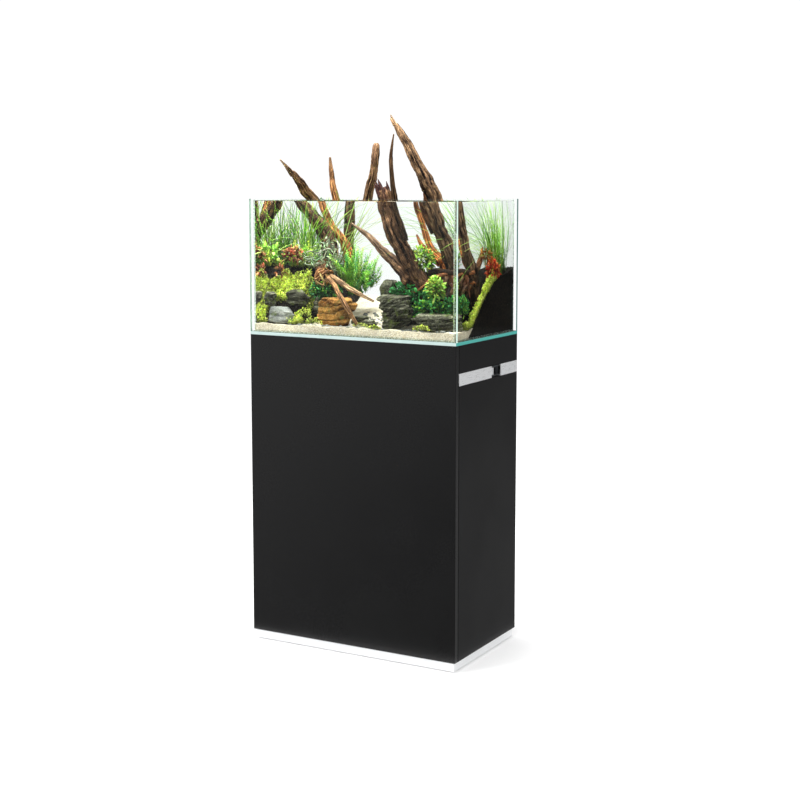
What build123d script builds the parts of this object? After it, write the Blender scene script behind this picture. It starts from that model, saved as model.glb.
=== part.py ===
"""Rimless planted aquarium on a cabinet stand.

Millimetres. +Z is up, +Y is to the rear, +X is to the right as seen from the front.
The origin is on the floor, under the centre of the 600 x 350 mm footprint.
"""
from build123d import *
import math
import os

os.makedirs("parts", exist_ok=True)

# ---- driving dimensions -------------------------------------------------------------
WIDTH = 600.0
DEPTH = 350.0
FOOT_GAP = 3.0              # height of the feet that shows under the plinth
PLINTH_TOP = 25.0
CABINET_HEIGHT = 785.0
TANK_HEIGHT = 350.0
MAT_THICKNESS = 2.0
BOARD = 16.0                # all cabinet boards
GLASS = 8.0                 # all panes
DOOR_GAP = 2.0              # between the door and the front edges of the cabinet
DOOR_ARRIS = 0.8            # chamfers on the edges of the boards
BOARD_ARRIS = 0.5

HALF_W = WIDTH / 2
HALF_D = DEPTH / 2
CABINET_TOP = PLINTH_TOP + CABINET_HEIGHT
DOOR_BACK = -HALF_D + BOARD
BODY_FRONT = DOOR_BACK + DOOR_GAP
INNER_W = HALF_W - BOARD

PLINTH_INSET = 5.0
PLINTH_BOARD = 12.0

FOOT_X = 250.0
FOOT_Y = 125.0
FOOT_DISC_RADIUS = 18.0
FOOT_DISC_HEIGHT = 4.0
FOOT_DISC_CHAMFER = 1.5
STEM_RADIUS = 4.0
STEM_TOP = 35.0
STEM_HOLE_DEPTH = 12.0      # blind hole in the cabinet's floor above each stem
STEM_HOLE_GAP = 0.5
RUNNING_GAP = 0.05          # radial clearance of pins and stems in their bores
SOCKET_RADIUS = 11.0
SOCKET_HEIGHT = 12.0

# cam locks that join the sides to the floor and the top
CAM_RADIUS = 7.5
CAM_DEPTH = 12.0
CAM_FROM_SIDE = 34.0
CAM_Y = 60.0
CAM_SLOT = (8.0, 1.6, 1.5)  # length, width and depth of the screwdriver slot

HOSE_HOLE_HALF_WIDTH = 70.0
HOSE_HOLE_Z = (640.0, 740.0)

# groove across each side panel, with two aluminium trims and a hose outlet between them
GROOVE_BOTTOM = 713.0
GROOVE_HEIGHT = 30.0
GROOVE_TOP = GROOVE_BOTTOM + GROOVE_HEIGHT
GROOVE_DEPTH = 10.0
TRIM_WALL = 2.0
FRONT_TRIM_END = 23.0
REAR_TRIM_START = 77.0
OUTLET_FRONT = -30.0
WINDOW_Y = (43.5, 73.5)
WINDOW_MARGIN = 4.5
SLEEVE_WALL = 1.5
SHUTTER_LENGTH = 52.0
SHUTTER_REAR = 40.0
SHUTTER_THICKNESS = 1.5
SHUTTER_FROM_BACK = 3.5     # from the groove's floor to the shutter's back
SHUTTER_MARGIN = 2.2
GRIP_REACH = 2.0
GRIP_LENGTH = 1.5
GRIP_MARGIN = 1.6
OUTLET_PLATE = 1.5
RAIL_REACH = 6.5
RAIL_WIDTH = 1.8
LIP_REACH = 5.2
LIP_WIDTH = 1.5
OUTLET_GAP = 0.2

# concealed hinges on the left: the arm's pin A carries the link, the cup's pin B the door
HINGE_Z = (125.0, 690.0)
ARM_PIN = (-258.5, -154.0)
CUP_PIN = (-287.5, -161.5)
HINGE_PIN_RADIUS = 2.0
LINK_HEIGHT = 8.0
LINK_THICKNESS = 2.0
LINK_BOSS_RADIUS = 3.2
CUP_RADIUS = 17.5
CUP_DEPTH = 12.0
CUP_WALL = 1.5
CUP_CENTRE_X = -HALF_W + 22.5
CUP_GAP = 0.1
CUP_PIN_HALF_LENGTH = 12.4
FLANGE_X = (-HALF_W + 3.0, -252.0)
FLANGE_HALF_HEIGHT = 27.0
FLANGE_THICKNESS = 1.0
FLANGE_SCREW_X = -262.0
FLANGE_SCREW_OFFSET = 22.5
FLANGE_SCREW_RADIUS = 2.2
LINK_NOTCH_DEPTH = 3.5
LINK_NOTCH_HALF_HEIGHT = 6.0
LINK_SIDE_GAP = 0.3
ARM_CHEEK = 2.0
ARM_PLATE = 2.5
ARM_PLATE_Y = (-146.0, -92.0)
ARM_PLATE_HALF_HEIGHT = 24.0
ARM_CHANNEL_END = (-255.0, -98.0)
ARM_CHANNEL_CEILING = 2.0
ARM_CHANNEL_FRONT = 6.0
ARM_EYE_RADIUS = 3.5

LATCH_X = 240.0
LATCH_HALF_WIDTH = 9.0
LATCH_HEIGHT = 18.0
LATCH_Y = (BODY_FRONT + 3.0, BODY_FRONT + 68.0)
LATCH_BORE_REAR = BODY_FRONT + 50.0
PLUNGER_RADIUS = 4.0
PLUNGER_Y = (BODY_FRONT - 1.6, BODY_FRONT + 36.0)
BUMPER_RADIUS = 4.0
BUMPER_FROM_END = 40.0
BUMPER_GAP = 0.1

SHELF_BOTTOM = 400.0
SHELF_PIN_RADIUS = 2.5
SHELF_PIN_Y = 105.0
SHELF_PIN_HOLE = 8.0
SHELF_PIN_INSERTED = 7.5
SHELF_SETBACK = 25.0
SHELF_GAP = 1.0

GLASS_BOTTOM = CABINET_TOP + MAT_THICKNESS
GLASS_FLOOR = GLASS_BOTTOM + GLASS
RIM = GLASS_BOTTOM + TANK_HEIGHT
TANK_X = HALF_W - GLASS     # inside faces of the tank
TANK_Y = HALF_D - GLASS
SEAM = 4.0
SAND_TOP = GLASS_FLOOR + 20.0
SOIL_FRONT = -95.0


# ---- helpers ------------------------------------------------------------------------
def block(x, y, z):
    """A box between two values on each axis."""
    centre = Pos((x[0] + x[1]) / 2, (y[0] + y[1]) / 2, (z[0] + z[1]) / 2)
    return centre * Box(abs(x[1] - x[0]), abs(y[1] - y[0]), abs(z[1] - z[0]))


def upright(x, y, z, radius):
    """A vertical cylinder between two heights."""
    return Pos(x, y, (z[0] + z[1]) / 2) * Cylinder(radius, z[1] - z[0])


def along_x(x, y, z, radius):
    """A cylinder along X between two values of x."""
    return Pos((x[0] + x[1]) / 2, y, z) * Rot(0, 90, 0) * Cylinder(radius, abs(x[1] - x[0]))


def along_y(x, y, z, radius):
    """A cylinder along Y between two values of y."""
    return Pos(x, (y[0] + y[1]) / 2, z) * Rot(90, 0, 0) * Cylinder(radius, abs(y[1] - y[0]))


def prism_x(profile, x):
    """A (y, z) outline extruded between two values of x."""
    wire = Polyline([(x[0], y, z) for y, z in profile], close=True)
    return extrude(make_face(wire), amount=x[1] - x[0], dir=(1, 0, 0))


def prism_y(profile, y):
    """An (x, z) outline extruded between two values of y."""
    wire = Polyline([(x, y[0], z) for x, z in profile], close=True)
    return extrude(make_face(wire), amount=y[1] - y[0], dir=(0, 1, 0))


def branch(points, radii):
    """A tapering limb through a list of points, round in section."""
    spine = [Vector(*p) for p in points]
    last = len(spine) - 1
    rings = []
    for i, centre in enumerate(spine):
        ahead = spine[min(i + 1, last)]
        behind = spine[max(i - 1, 0)]
        rings.append(Plane(origin=centre, z_dir=ahead - behind) * Circle(radii[i]))
    return loft(rings, ruled=True)


def biggest(shape):
    """The largest solid of a shape that a cut has divided."""
    return max(shape.solids(), key=lambda solid: solid.volume)


def cut_by(shape, others):
    """The shape with its neighbours taken out of it."""
    for other in others:
        shape = shape - other
    return shape


def save(shape, name):
    solids = shape.solids()
    result = solids[0] if len(solids) == 1 else Compound(children=list(solids))
    export_step(result, f"parts/{name}.step")


# ---- plinth and feet ----------------------------------------------------------------
def make_plinth():
    outer_x = HALF_W - PLINTH_INSET
    outer_y = HALF_D - PLINTH_INSET
    inner_x = outer_x - PLINTH_BOARD
    inner_y = outer_y - PLINTH_BOARD
    height = (FOOT_GAP, PLINTH_TOP)
    save(block((-outer_x, outer_x), (-outer_y, -inner_y), height), "plinth_front")
    save(block((-outer_x, outer_x), (inner_y, outer_y), height), "plinth_rear")
    save(block((-outer_x, -inner_x), (-inner_y, inner_y), height), "plinth_left")
    save(block((inner_x, outer_x), (-inner_y, inner_y), height), "plinth_right")


def foot(x, y):
    disc = upright(x, y, (0, FOOT_DISC_HEIGHT), FOOT_DISC_RADIUS)
    disc = chamfer(disc.edges().filter_by(GeomType.CIRCLE).sort_by(Axis.Z)[-1], FOOT_DISC_CHAMFER)
    stem = upright(x, y, (FOOT_DISC_HEIGHT, STEM_TOP), STEM_RADIUS)
    return disc + stem


def socket(x, y):
    ring = upright(x, y, (PLINTH_TOP - SOCKET_HEIGHT, PLINTH_TOP), SOCKET_RADIUS)
    return ring - upright(x, y, (0, STEM_TOP), STEM_RADIUS + RUNNING_GAP)


FOOT_PLACES = {
    "front_left": (-FOOT_X, -FOOT_Y),
    "front_right": (FOOT_X, -FOOT_Y),
    "rear_left": (-FOOT_X, FOOT_Y),
    "rear_right": (FOOT_X, FOOT_Y),
}


def make_feet():
    for name, (x, y) in FOOT_PLACES.items():
        save(foot(x, y), f"foot_{name}")
    save(Compound(children=[socket(x, y) for x, y in FOOT_PLACES.values()]), "foot_sockets")


# ---- cabinet boards -----------------------------------------------------------------
def cam_places(face, into_board):
    """Centre of each cam lock in a board, and the heights between which it lies."""
    x = INNER_W - CAM_FROM_SIDE
    z = sorted((face, face + into_board * CAM_DEPTH))
    return [(side * x, y, z) for side in (-1, 1) for y in (-CAM_Y, CAM_Y)]


FLOOR_CAMS = cam_places(PLINTH_TOP + BOARD, -1)
TOP_CAMS = cam_places(CABINET_TOP - BOARD, 1)


def cam_lock(x, y, z, slot_face):
    """A zinc cam with a screwdriver slot in the face that shows."""
    length, width, depth = CAM_SLOT
    cam = upright(x, y, z, CAM_RADIUS - RUNNING_GAP)
    slot_z = (slot_face - depth, slot_face + depth)
    return cam - block((x - length / 2, x + length / 2), (y - width / 2, y + width / 2), slot_z)


def make_floor_and_top():
    depth = (BODY_FRONT, HALF_D)
    floor = block((-INNER_W, INNER_W), depth, (PLINTH_TOP, PLINTH_TOP + BOARD))
    for x, y in FOOT_PLACES.values():
        floor = floor - upright(x, y, (0, PLINTH_TOP + STEM_HOLE_DEPTH), STEM_RADIUS + STEM_HOLE_GAP)
    top = block((-INNER_W, INNER_W), depth, (CABINET_TOP - BOARD, CABINET_TOP))
    for place in FLOOR_CAMS:
        floor = floor - upright(*place, CAM_RADIUS)
    for place in TOP_CAMS:
        top = top - upright(*place, CAM_RADIUS)
    save(floor, "cabinet_floor")
    save(top, "cabinet_top")
    cams = [cam_lock(*place, PLINTH_TOP + BOARD) for place in FLOOR_CAMS]
    cams += [cam_lock(*place, CABINET_TOP - BOARD) for place in TOP_CAMS]
    save(Compound(children=cams), "cam_locks")


def make_back():
    rear = (HALF_D - BOARD, HALF_D)
    back = block((-INNER_W, INNER_W), rear, (PLINTH_TOP + BOARD, CABINET_TOP - BOARD))
    hole_x = (-HOSE_HOLE_HALF_WIDTH, HOSE_HOLE_HALF_WIDTH)
    save(back - block(hole_x, (HALF_D - 2 * BOARD, HALF_D + BOARD), HOSE_HOLE_Z), "back_panel")


def side_panel(side):
    """One side board: side is 1 for the right and -1 for the left."""
    outer = side * HALF_W
    inner = side * INNER_W
    groove_floor = side * (HALF_W - GROOVE_DEPTH)
    panel = block((inner, outer), (BODY_FRONT, HALF_D), (PLINTH_TOP, CABINET_TOP))
    panel = chamfer(panel.edges().group_by(Axis.X)[0 if side < 0 else -1], BOARD_ARRIS)
    groove = block((groove_floor, outer + side), (BODY_FRONT - 1, HALF_D + 1), (GROOVE_BOTTOM, GROOVE_TOP))
    slot = block((inner - side, outer), sleeve_y(), sleeve_z())
    panel = panel - groove - slot
    for y in (-SHELF_PIN_Y, SHELF_PIN_Y):
        hole_end = inner + side * SHELF_PIN_HOLE
        z = SHELF_BOTTOM - SHELF_PIN_RADIUS
        panel = panel - along_x((inner - side, hole_end), y, z, SHELF_PIN_RADIUS + RUNNING_GAP)
    return panel


def make_sides():
    save(side_panel(-1), "side_left")
    save(side_panel(1), "side_right")


def make_shelf():
    width = INNER_W - SHELF_GAP
    depth = (BODY_FRONT + SHELF_SETBACK, HALF_D - BOARD - SHELF_GAP)
    save(block((-width, width), depth, (SHELF_BOTTOM, SHELF_BOTTOM + BOARD)), "shelf")
    pins = []
    for side in (-1, 1):
        for y in (-SHELF_PIN_Y, SHELF_PIN_Y):
            ends = (side * (INNER_W - SHELF_PIN_HOLE), side * (INNER_W + SHELF_PIN_INSERTED))
            pins.append(along_x(ends, y, SHELF_BOTTOM - SHELF_PIN_RADIUS, SHELF_PIN_RADIUS))
    save(Compound(children=pins), "shelf_pins")


# ---- side grooves: trims, hose outlet and its shutter ---------------------------------
def sleeve_y():
    return WINDOW_Y[0] - SLEEVE_WALL, WINDOW_Y[1] + SLEEVE_WALL


def window_z():
    return GROOVE_BOTTOM + WINDOW_MARGIN, GROOVE_TOP - WINDOW_MARGIN


def sleeve_z():
    low, high = window_z()
    return low - SLEEVE_WALL, high + SLEEVE_WALL


def trim(side, y):
    """An aluminium channel that fills the groove and is flush with the panel's face."""
    outer = side * HALF_W
    back = side * (HALF_W - GROOVE_DEPTH)
    face = side * (HALF_W - TRIM_WALL)
    whole = block((back, outer), y, (GROOVE_BOTTOM, GROOVE_TOP))
    hollow_z = (GROOVE_BOTTOM + TRIM_WALL, GROOVE_TOP - TRIM_WALL)
    hollow = block((back - side, face), (y[0] - 1, y[1] + 1), hollow_z)
    return whole - hollow


def outlet(side):
    """The outlet's plastic plate: guide rails for the shutter and a sleeve through the panel."""
    back = side * (HALF_W - GROOVE_DEPTH)
    plate_face = back + side * OUTLET_PLATE
    rail_face = back + side * RAIL_REACH
    lip_back = back + side * LIP_REACH
    low = GROOVE_BOTTOM + TRIM_WALL + OUTLET_GAP
    high = GROOVE_TOP - TRIM_WALL - OUTLET_GAP
    y = (OUTLET_FRONT, REAR_TRIM_START - OUTLET_GAP)
    shape = block((back, plate_face), y, (low, high))
    for edge, inward in ((low, 1), (high, -1)):
        rail = sorted((edge, edge + inward * RAIL_WIDTH))
        lip = sorted((edge + inward * RAIL_WIDTH, edge + inward * (RAIL_WIDTH + LIP_WIDTH)))
        shape += block((plate_face, rail_face), y, rail)
        shape += block((lip_back, rail_face), y, lip)
    shape += block((side * INNER_W, back), sleeve_y(), sleeve_z())
    return shape - block((side * (INNER_W - 1), rail_face + side), WINDOW_Y, window_z())


def shutter(side):
    """A plate that slides along the outlet's rails and closes its window."""
    back = side * (HALF_W - GROOVE_DEPTH + SHUTTER_FROM_BACK)
    face = back + side * SHUTTER_THICKNESS
    low = GROOVE_BOTTOM + TRIM_WALL + SHUTTER_MARGIN
    high = GROOVE_TOP - TRIM_WALL - SHUTTER_MARGIN
    plate = block((back, face), (SHUTTER_REAR - SHUTTER_LENGTH, SHUTTER_REAR), (low, high))
    grip_z = (low + GRIP_MARGIN, high - GRIP_MARGIN)
    grip = block((face, face + side * GRIP_REACH), (SHUTTER_REAR - GRIP_LENGTH, SHUTTER_REAR), grip_z)
    return plate + grip


def make_side_fittings():
    for name, side in (("left", -1), ("right", 1)):
        save(trim(side, (BODY_FRONT, FRONT_TRIM_END)), f"trim_{name}_front")
        save(trim(side, (REAR_TRIM_START, HALF_D)), f"trim_{name}_rear")
        save(outlet(side), f"outlet_{name}")
        save(shutter(side), f"shutter_{name}")


# ---- door, hinges and latch -----------------------------------------------------------
def cup_hole(z, radius, depth):
    return along_y(CUP_CENTRE_X, (DOOR_BACK - depth, DOOR_BACK + 1), z, radius)


def flange_block(z, y):
    return block(FLANGE_X, y, (z - FLANGE_HALF_HEIGHT, z + FLANGE_HALF_HEIGHT))


def make_door():
    door = block((-HALF_W, HALF_W), (-HALF_D, DOOR_BACK), (PLINTH_TOP, CABINET_TOP))
    door = chamfer(door.edges(), DOOR_ARRIS)
    for z in HINGE_Z:
        door = door - cup_hole(z, CUP_RADIUS, CUP_DEPTH)
        door = door - flange_block(z, (DOOR_BACK - FLANGE_THICKNESS, DOOR_BACK + 1))
    save(door, "door")


def hinge_cup(z):
    """The steel cup, its flush flange and the pin that the link turns on."""
    bottom = DOOR_BACK - CUP_DEPTH
    behind = DOOR_BACK + 1
    flange = flange_block(z, (DOOR_BACK - FLANGE_THICKNESS, DOOR_BACK))
    cup = along_y(CUP_CENTRE_X, (bottom, DOOR_BACK - FLANGE_THICKNESS), z, CUP_RADIUS - CUP_GAP)
    cavity = along_y(CUP_CENTRE_X, (bottom + CUP_WALL, behind), z, CUP_RADIUS - CUP_WALL)
    notch_z = (z - LINK_NOTCH_HALF_HEIGHT, z + LINK_NOTCH_HALF_HEIGHT)
    notch_x = (-HALF_W + 5.0, CUP_CENTRE_X)
    shape = flange + cup - cavity - block(notch_x, (DOOR_BACK - LINK_NOTCH_DEPTH, behind), notch_z)
    pin_z = (z - CUP_PIN_HALF_LENGTH, z + CUP_PIN_HALF_LENGTH)
    shape += upright(*CUP_PIN, pin_z, HINGE_PIN_RADIUS)
    for side in (-1, 1):
        screw_z = z + side * FLANGE_SCREW_OFFSET
        screw_y = (DOOR_BACK - FLANGE_THICKNESS - 1, behind)
        shape -= along_y(FLANGE_SCREW_X, screw_y, screw_z, FLANGE_SCREW_RADIUS)
    return shape


def hinge_arm(z):
    """The arm on the side panel: a plate, a channel and a fork that holds the link's pin."""
    half_gap = LINK_HEIGHT / 2 + LINK_SIDE_GAP
    reach = half_gap + ARM_CHEEK
    pin_x, pin_y = ARM_PIN
    front, plate_rear = ARM_PLATE_Y
    channel_face, channel_rear = ARM_CHANNEL_END
    plate_face = -INNER_W + ARM_PLATE
    plate_z = (z - ARM_PLATE_HALF_HEIGHT, z + ARM_PLATE_HALF_HEIGHT)
    shape = block((-INNER_W, plate_face), (front, plate_rear), plate_z)
    channel = block((plate_face, channel_face), (front, channel_rear), (z - reach, z + reach))
    hollow_x = (plate_face, channel_face - ARM_CHANNEL_CEILING)
    channel -= block(hollow_x, (front + ARM_CHANNEL_FRONT, channel_rear + 1), (z - half_gap, z + half_gap))
    shape += channel
    for side in (-1, 1):
        span = sorted((z + side * half_gap, z + side * reach))
        shape += block((pin_x - ARM_EYE_RADIUS, pin_x + ARM_EYE_RADIUS), (pin_y, front), span)
        shape += upright(pin_x, pin_y, span, ARM_EYE_RADIUS)
    return shape + upright(pin_x, pin_y, (z - reach, z + reach), HINGE_PIN_RADIUS)


def hinge_link(z):
    """The link between the two pins."""
    span_x = CUP_PIN[0] - ARM_PIN[0]
    span_y = CUP_PIN[1] - ARM_PIN[1]
    length = math.hypot(span_x, span_y)
    angle = math.degrees(math.atan2(span_y, span_x))
    middle = Pos((ARM_PIN[0] + CUP_PIN[0]) / 2, (ARM_PIN[1] + CUP_PIN[1]) / 2, z)
    shape = middle * Rot(0, 0, angle) * Box(length, LINK_THICKNESS, LINK_HEIGHT)
    height = (z - LINK_HEIGHT / 2, z + LINK_HEIGHT / 2)
    for x, y in (ARM_PIN, CUP_PIN):
        shape += upright(x, y, height, LINK_BOSS_RADIUS)
    for x, y in (ARM_PIN, CUP_PIN):
        shape -= upright(x, y, height, HINGE_PIN_RADIUS + RUNNING_GAP)
    return shape


def make_hinges():
    for name, z in zip(("lower", "upper"), HINGE_Z):
        save(hinge_cup(z), f"hinge_cup_{name}")
        save(hinge_arm(z), f"hinge_arm_{name}")
        save(hinge_link(z), f"hinge_link_{name}")


def make_bumpers():
    bumpers = []
    x = HALF_W - BOARD / 2
    for z in (PLINTH_TOP + BUMPER_FROM_END, CABINET_TOP - BUMPER_FROM_END):
        bumpers.append(along_y(x, (DOOR_BACK, BODY_FRONT - BUMPER_GAP), z, BUMPER_RADIUS))
    save(Compound(children=bumpers), "door_bumpers")


def make_latch():
    """A push latch under the cabinet's top, with a sprung plunger that faces the door."""
    top = CABINET_TOP - BOARD
    axis_z = top - LATCH_HEIGHT / 2
    width = (LATCH_X - LATCH_HALF_WIDTH, LATCH_X + LATCH_HALF_WIDTH)
    body = block(width, LATCH_Y, (top - LATCH_HEIGHT, top))
    body -= along_y(LATCH_X, (BODY_FRONT, LATCH_BORE_REAR), axis_z, PLUNGER_RADIUS + RUNNING_GAP)
    save(body, "latch_body")
    save(along_y(LATCH_X, PLUNGER_Y, axis_z, PLUNGER_RADIUS), "latch_plunger")


# ---- tank -----------------------------------------------------------------------------
def make_glass():
    wall = (GLASS_FLOOR, RIM)
    save(block((-HALF_W, HALF_W), (-HALF_D, HALF_D), (CABINET_TOP, GLASS_BOTTOM)), "tank_mat")
    save(block((-HALF_W, HALF_W), (-HALF_D, HALF_D), (GLASS_BOTTOM, GLASS_FLOOR)), "glass_base")
    save(block((-HALF_W, HALF_W), (-HALF_D, -TANK_Y), wall), "glass_front")
    save(block((-HALF_W, HALF_W), (TANK_Y, HALF_D), wall), "glass_rear")
    save(block((-HALF_W, -TANK_X), (-TANK_Y, TANK_Y), wall), "glass_left")
    save(block((TANK_X, HALF_W), (-TANK_Y, TANK_Y), wall), "glass_right")


def silicone_seams():
    """A fillet along every inside edge of the tank."""
    inside = block((-TANK_X, TANK_X), (-TANK_Y, TANK_Y), (GLASS_FLOOR, RIM - 2.0))
    core = block((-TANK_X, TANK_X), (-TANK_Y, TANK_Y), (GLASS_FLOOR, RIM))
    upright_edges = core.edges().filter_by(Axis.Z)
    core = chamfer(upright_edges, SEAM)
    core = chamfer(core.edges().group_by(Axis.Z)[0], SEAM)
    return inside - core


# ---- hardscape ------------------------------------------------------------------------
SOIL_PROFILE = [
    (SOIL_FRONT, GLASS_FLOOR),
    (SOIL_FRONT + 5, GLASS_FLOOR + 12),
    (-42, 869),
    (3, 915),
    (60, 952),
    (119, 974),
    (TANK_Y, 985),
    (TANK_Y, GLASS_FLOOR),
]
MOUND_PROFILE = [
    (-152, GLASS_FLOOR),
    (-148, 842),
    (-112, 880),
    (-80, 916),
    (-48, 950),
    (0, 974),
    (60, 984),
    (TANK_Y, 992),
    (TANK_Y, GLASS_FLOOR),
]
MOUND_FOOT_X = -140.0
MOUND_CREST_X = -176.0
PATH_PROFILE = [
    (-TANK_Y, GLASS_FLOOR),
    (-TANK_Y, SAND_TOP),
    (SOIL_FRONT, SAND_TOP),
    (TANK_Y, 905),
    (TANK_Y, GLASS_FLOOR),
]
SOIL_CEILING = 1000.0
CARPET_DEPTH = 22.0


def bank(profile, side, foot_x, crest_x):
    """Soil under a profile, whose inner face slopes down to the sand path."""
    whole = prism_x(profile, (-TANK_X, TANK_X))
    outer = side * TANK_X
    outline = [(foot_x, GLASS_FLOOR), (crest_x, SOIL_CEILING), (outer, SOIL_CEILING), (outer, GLASS_FLOOR)]
    return whole & prism_y(outline, (-TANK_Y, TANK_Y))


def sand(soils):
    strip = block((-TANK_X, TANK_X), (-TANK_Y, SOIL_FRONT), (GLASS_FLOOR, SAND_TOP))
    path = prism_x(PATH_PROFILE, (-150, 150))
    return biggest(cut_by(strip + path, soils))


def stone(centre, size, turn, tilt, base=SAND_TOP):
    """A flat-bottomed angular stone: a block with its corners cut off by a tilted block."""
    x, y = centre
    length, depth, height = size
    middle = Pos(x, y, base + height / 2)
    rough = middle * Rot(0, 0, turn) * Box(length, depth, height)
    shear = middle * Rot(tilt, tilt, turn + 35) * Box(length * 0.86, length * 0.86, height * 1.15)
    crown = middle * Rot(0, tilt, turn) * Box(length * 1.05, depth * 1.05, height * 0.98)
    shape = rough & shear & crown
    reach = 2 * length
    above = block((x - reach, x + reach), (y - reach, y + reach), (base, base + 2 * height))
    return biggest(shape & above)


PEBBLES = [(-170, -150, 14), (-150, -138, 9), (20, -150, 11), (36, -128, 13), (-4, -155, 9)]
BANK_STONES = [
    ((-182, -106), (70, 44, 42), 888),
    ((-268, -114), (40, 32, 34), 886),
    ((-128, -76), (44, 28, 44), 868),
    ((58, -40), (46, 40, 74), 886),
    ((24, -104), (42, 24, 20), 840),
    ((-16, -66), (50, 26, 30), 836),
]


def make_stones():
    stones = {
        "stone_grey": stone((-226, -132), (84, 52, 46), 6, 9),
        "stone_orange": stone((-62, -114), (116, 50, 76), 6, 7),
        "stone_layered": stone((104, -118), (100, 66, 88), 8, 8),
        "stone_ledge": stone((224, -126), (128, 56, 46), -2, 5),
    }
    for name, shape in stones.items():
        save(shape, name)
    pebbles = []
    for i, (x, y, size) in enumerate(PEBBLES):
        pebbles.append(stone((x, y), (size * 1.6, size * 1.3, size), 20 * i, 8))
    for centre, size, base in BANK_STONES:
        pebbles.append(stone(centre, size, 0, 6, base))
    save(Compound(children=pebbles), "small_stones")
    return list(stones.values()) + pebbles


def leaning_wood():
    """The thick limb that leans to the left, with its root knot and two legs."""
    limb = branch(
        [(-284, -50, 1262), (-280, 0, 1225), (-262, 62, 1163), (-222, 74, 1115), (-182, 78, 1068),
         (-160, 60, 1020), (-150, 20, 975), (-130, -40, 958)],
        [3, 7, 13, 17, 19, 21, 22, 20],
    )
    knot = Pos(-125, -50, 956) * Sphere(26)
    front_leg = branch([(-120, -60, 955), (-82, -98, 944), (-28, -150, 902), (12, -158, 850)], [9, 8, 7, 5])
    rear_leg = branch([(-115, -55, 962), (-37, -66, 929), (28, -76, 905)], [8, 7, 4])
    return limb + knot + front_leg + rear_leg


def thin_wood():
    """The thin upright limb at the rear left."""
    points = [
        (-225, 100, 1273), (-221, 100, 1225), (-209, 102, 1163),
        (-178, 106, 1092), (-138, 112, 1040), (-118, 112, 960),
    ]
    return branch(points, [4, 7, 9, 11, 13, 15])


def upright_wood():
    """The blunt limb against the rear pane."""
    points = [
        (-109, 146, 1311), (-116, 148, 1241), (-135, 148, 1163), (-142, 148, 1040), (-140, 146, 960),
    ]
    return branch(points, [5, 10, 13, 14, 15])


def forked_wood():
    """The splintered stump with its thin shoot and a spike to the left."""
    stump = branch(
        [(60, -115, 1210), (73, -115, 1163), (88, -110, 1099), (112, -100, 1048),
         (138, -88, 1004), (162, -70, 950), (180, -52, 890)],
        [8, 12, 17, 20, 24, 24, 22],
    )
    shoot = branch(
        [(101, -127, 1323), (93, -127, 1250), (104, -127, 1166), (122, -118, 1100), (132, -108, 1060)],
        [2.5, 4, 6, 8, 9],
    )
    spike = branch(
        [(-52, -40, 1101), (5, -50, 1067), (44, -60, 1033), (94, -70, 999), (135, -80, 960)],
        [3, 8, 11, 15, 19],
    )
    return stump + shoot + spike


def main_wood():
    """The tallest limb, with a second limb behind it and roots that spread over the soil."""
    limb = branch(
        [(51, -55, 1374), (70, -55, 1338), (102, -55, 1293), (130, -55, 1248), (178, -55, 1163),
         (204, -50, 1090), (232, -45, 1027), (246, -30, 970), (250, -10, 900)],
        [4, 9, 10, 13, 19, 18, 20, 24, 24],
    )
    second = branch(
        [(109, 28, 1185), (107, 30, 1150), (128, 25, 1098), (153, 12, 1048),
         (200, -5, 1000), (240, -20, 970)],
        [3, 6, 7, 9, 12, 15],
    )
    root = branch([(246, -30, 965), (262, -70, 920), (258, -84, 895)], [16, 12, 8])
    return limb + second + root


def make_wood():
    return {
        "wood_leaning": leaning_wood(),
        "wood_thin": thin_wood(),
        "wood_upright": upright_wood(),
        "wood_forked": forked_wood(),
        "wood_main": main_wood(),
    }


def carpet(profile, x, y_end):
    """A low carpet of plants that follows a soil profile from its foot to y_end."""
    top = [(y, z) for y, z in profile[1:-1] if y < y_end]
    raised = [(y, z + CARPET_DEPTH) for y, z in top]
    return prism_x(raised + top[::-1], x)


def grass_clump(x, y, top):
    """A clump of tall grass: a block that widens upwards."""
    foot_z = 940.0
    outline = [(x[0] + 14, foot_z), (x[1] - 14, foot_z), (x[1], top), (x[0], top)]
    return prism_y(outline, y)


def bush(centre, radius):
    """A round bush with a flat underside."""
    ball = Pos(*centre) * Sphere(radius)
    x, y, z = centre
    reach = 2 * radius
    return ball & block((x - reach, x + reach), (y - reach, y + reach), (z - radius * 0.8, z + reach))


def make_scape():
    """Stones, wood, soil, sand and plants, each cut to fit round what it is buried in."""
    stones = make_stones()
    wood = make_wood()
    seams = silicone_seams()
    mound = bank(MOUND_PROFILE, -1, MOUND_FOOT_X, MOUND_CREST_X)
    soils = [bank(SOIL_PROFILE, -1, -75, -140) + mound, bank(SOIL_PROFILE, 1, 45, 110)]
    cleared = [seams] + stones + list(wood.values())
    bank_left, bank_right = [biggest(cut_by(soil, cleared)) for soil in soils]
    save(seams, "silicone_seams")
    save(bank_left, "soil_left")
    save(bank_right, "soil_right")
    save(biggest(cut_by(sand(soils), cleared)), "sand")
    for name, shape in wood.items():
        save(biggest(cut_by(shape, stones)), name)
    plants = {
        "carpet_plants": [carpet(MOUND_PROFILE, (-288, -180), -20), carpet(SOIL_PROFILE, (262, 288), 61)],
        "grass_left": [grass_clump((-288, -232), (90, 160), 1150)],
        "grass_right": [grass_clump((200, 288), (70, 160), 1150)],
        "bush_centre": [bush((-45, 4, 969), 50)],
        "bush_right": [bush((158, -58, 1010), 28), bush((217, -106, 944), 22)],
    }
    around = soils + stones + list(wood.values()) + [seams, prism_x(PATH_PROFILE, (-150, 150))]
    for name, clumps in plants.items():
        save(Compound(children=[biggest(cut_by(clump, around)) for clump in clumps]), name)


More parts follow.
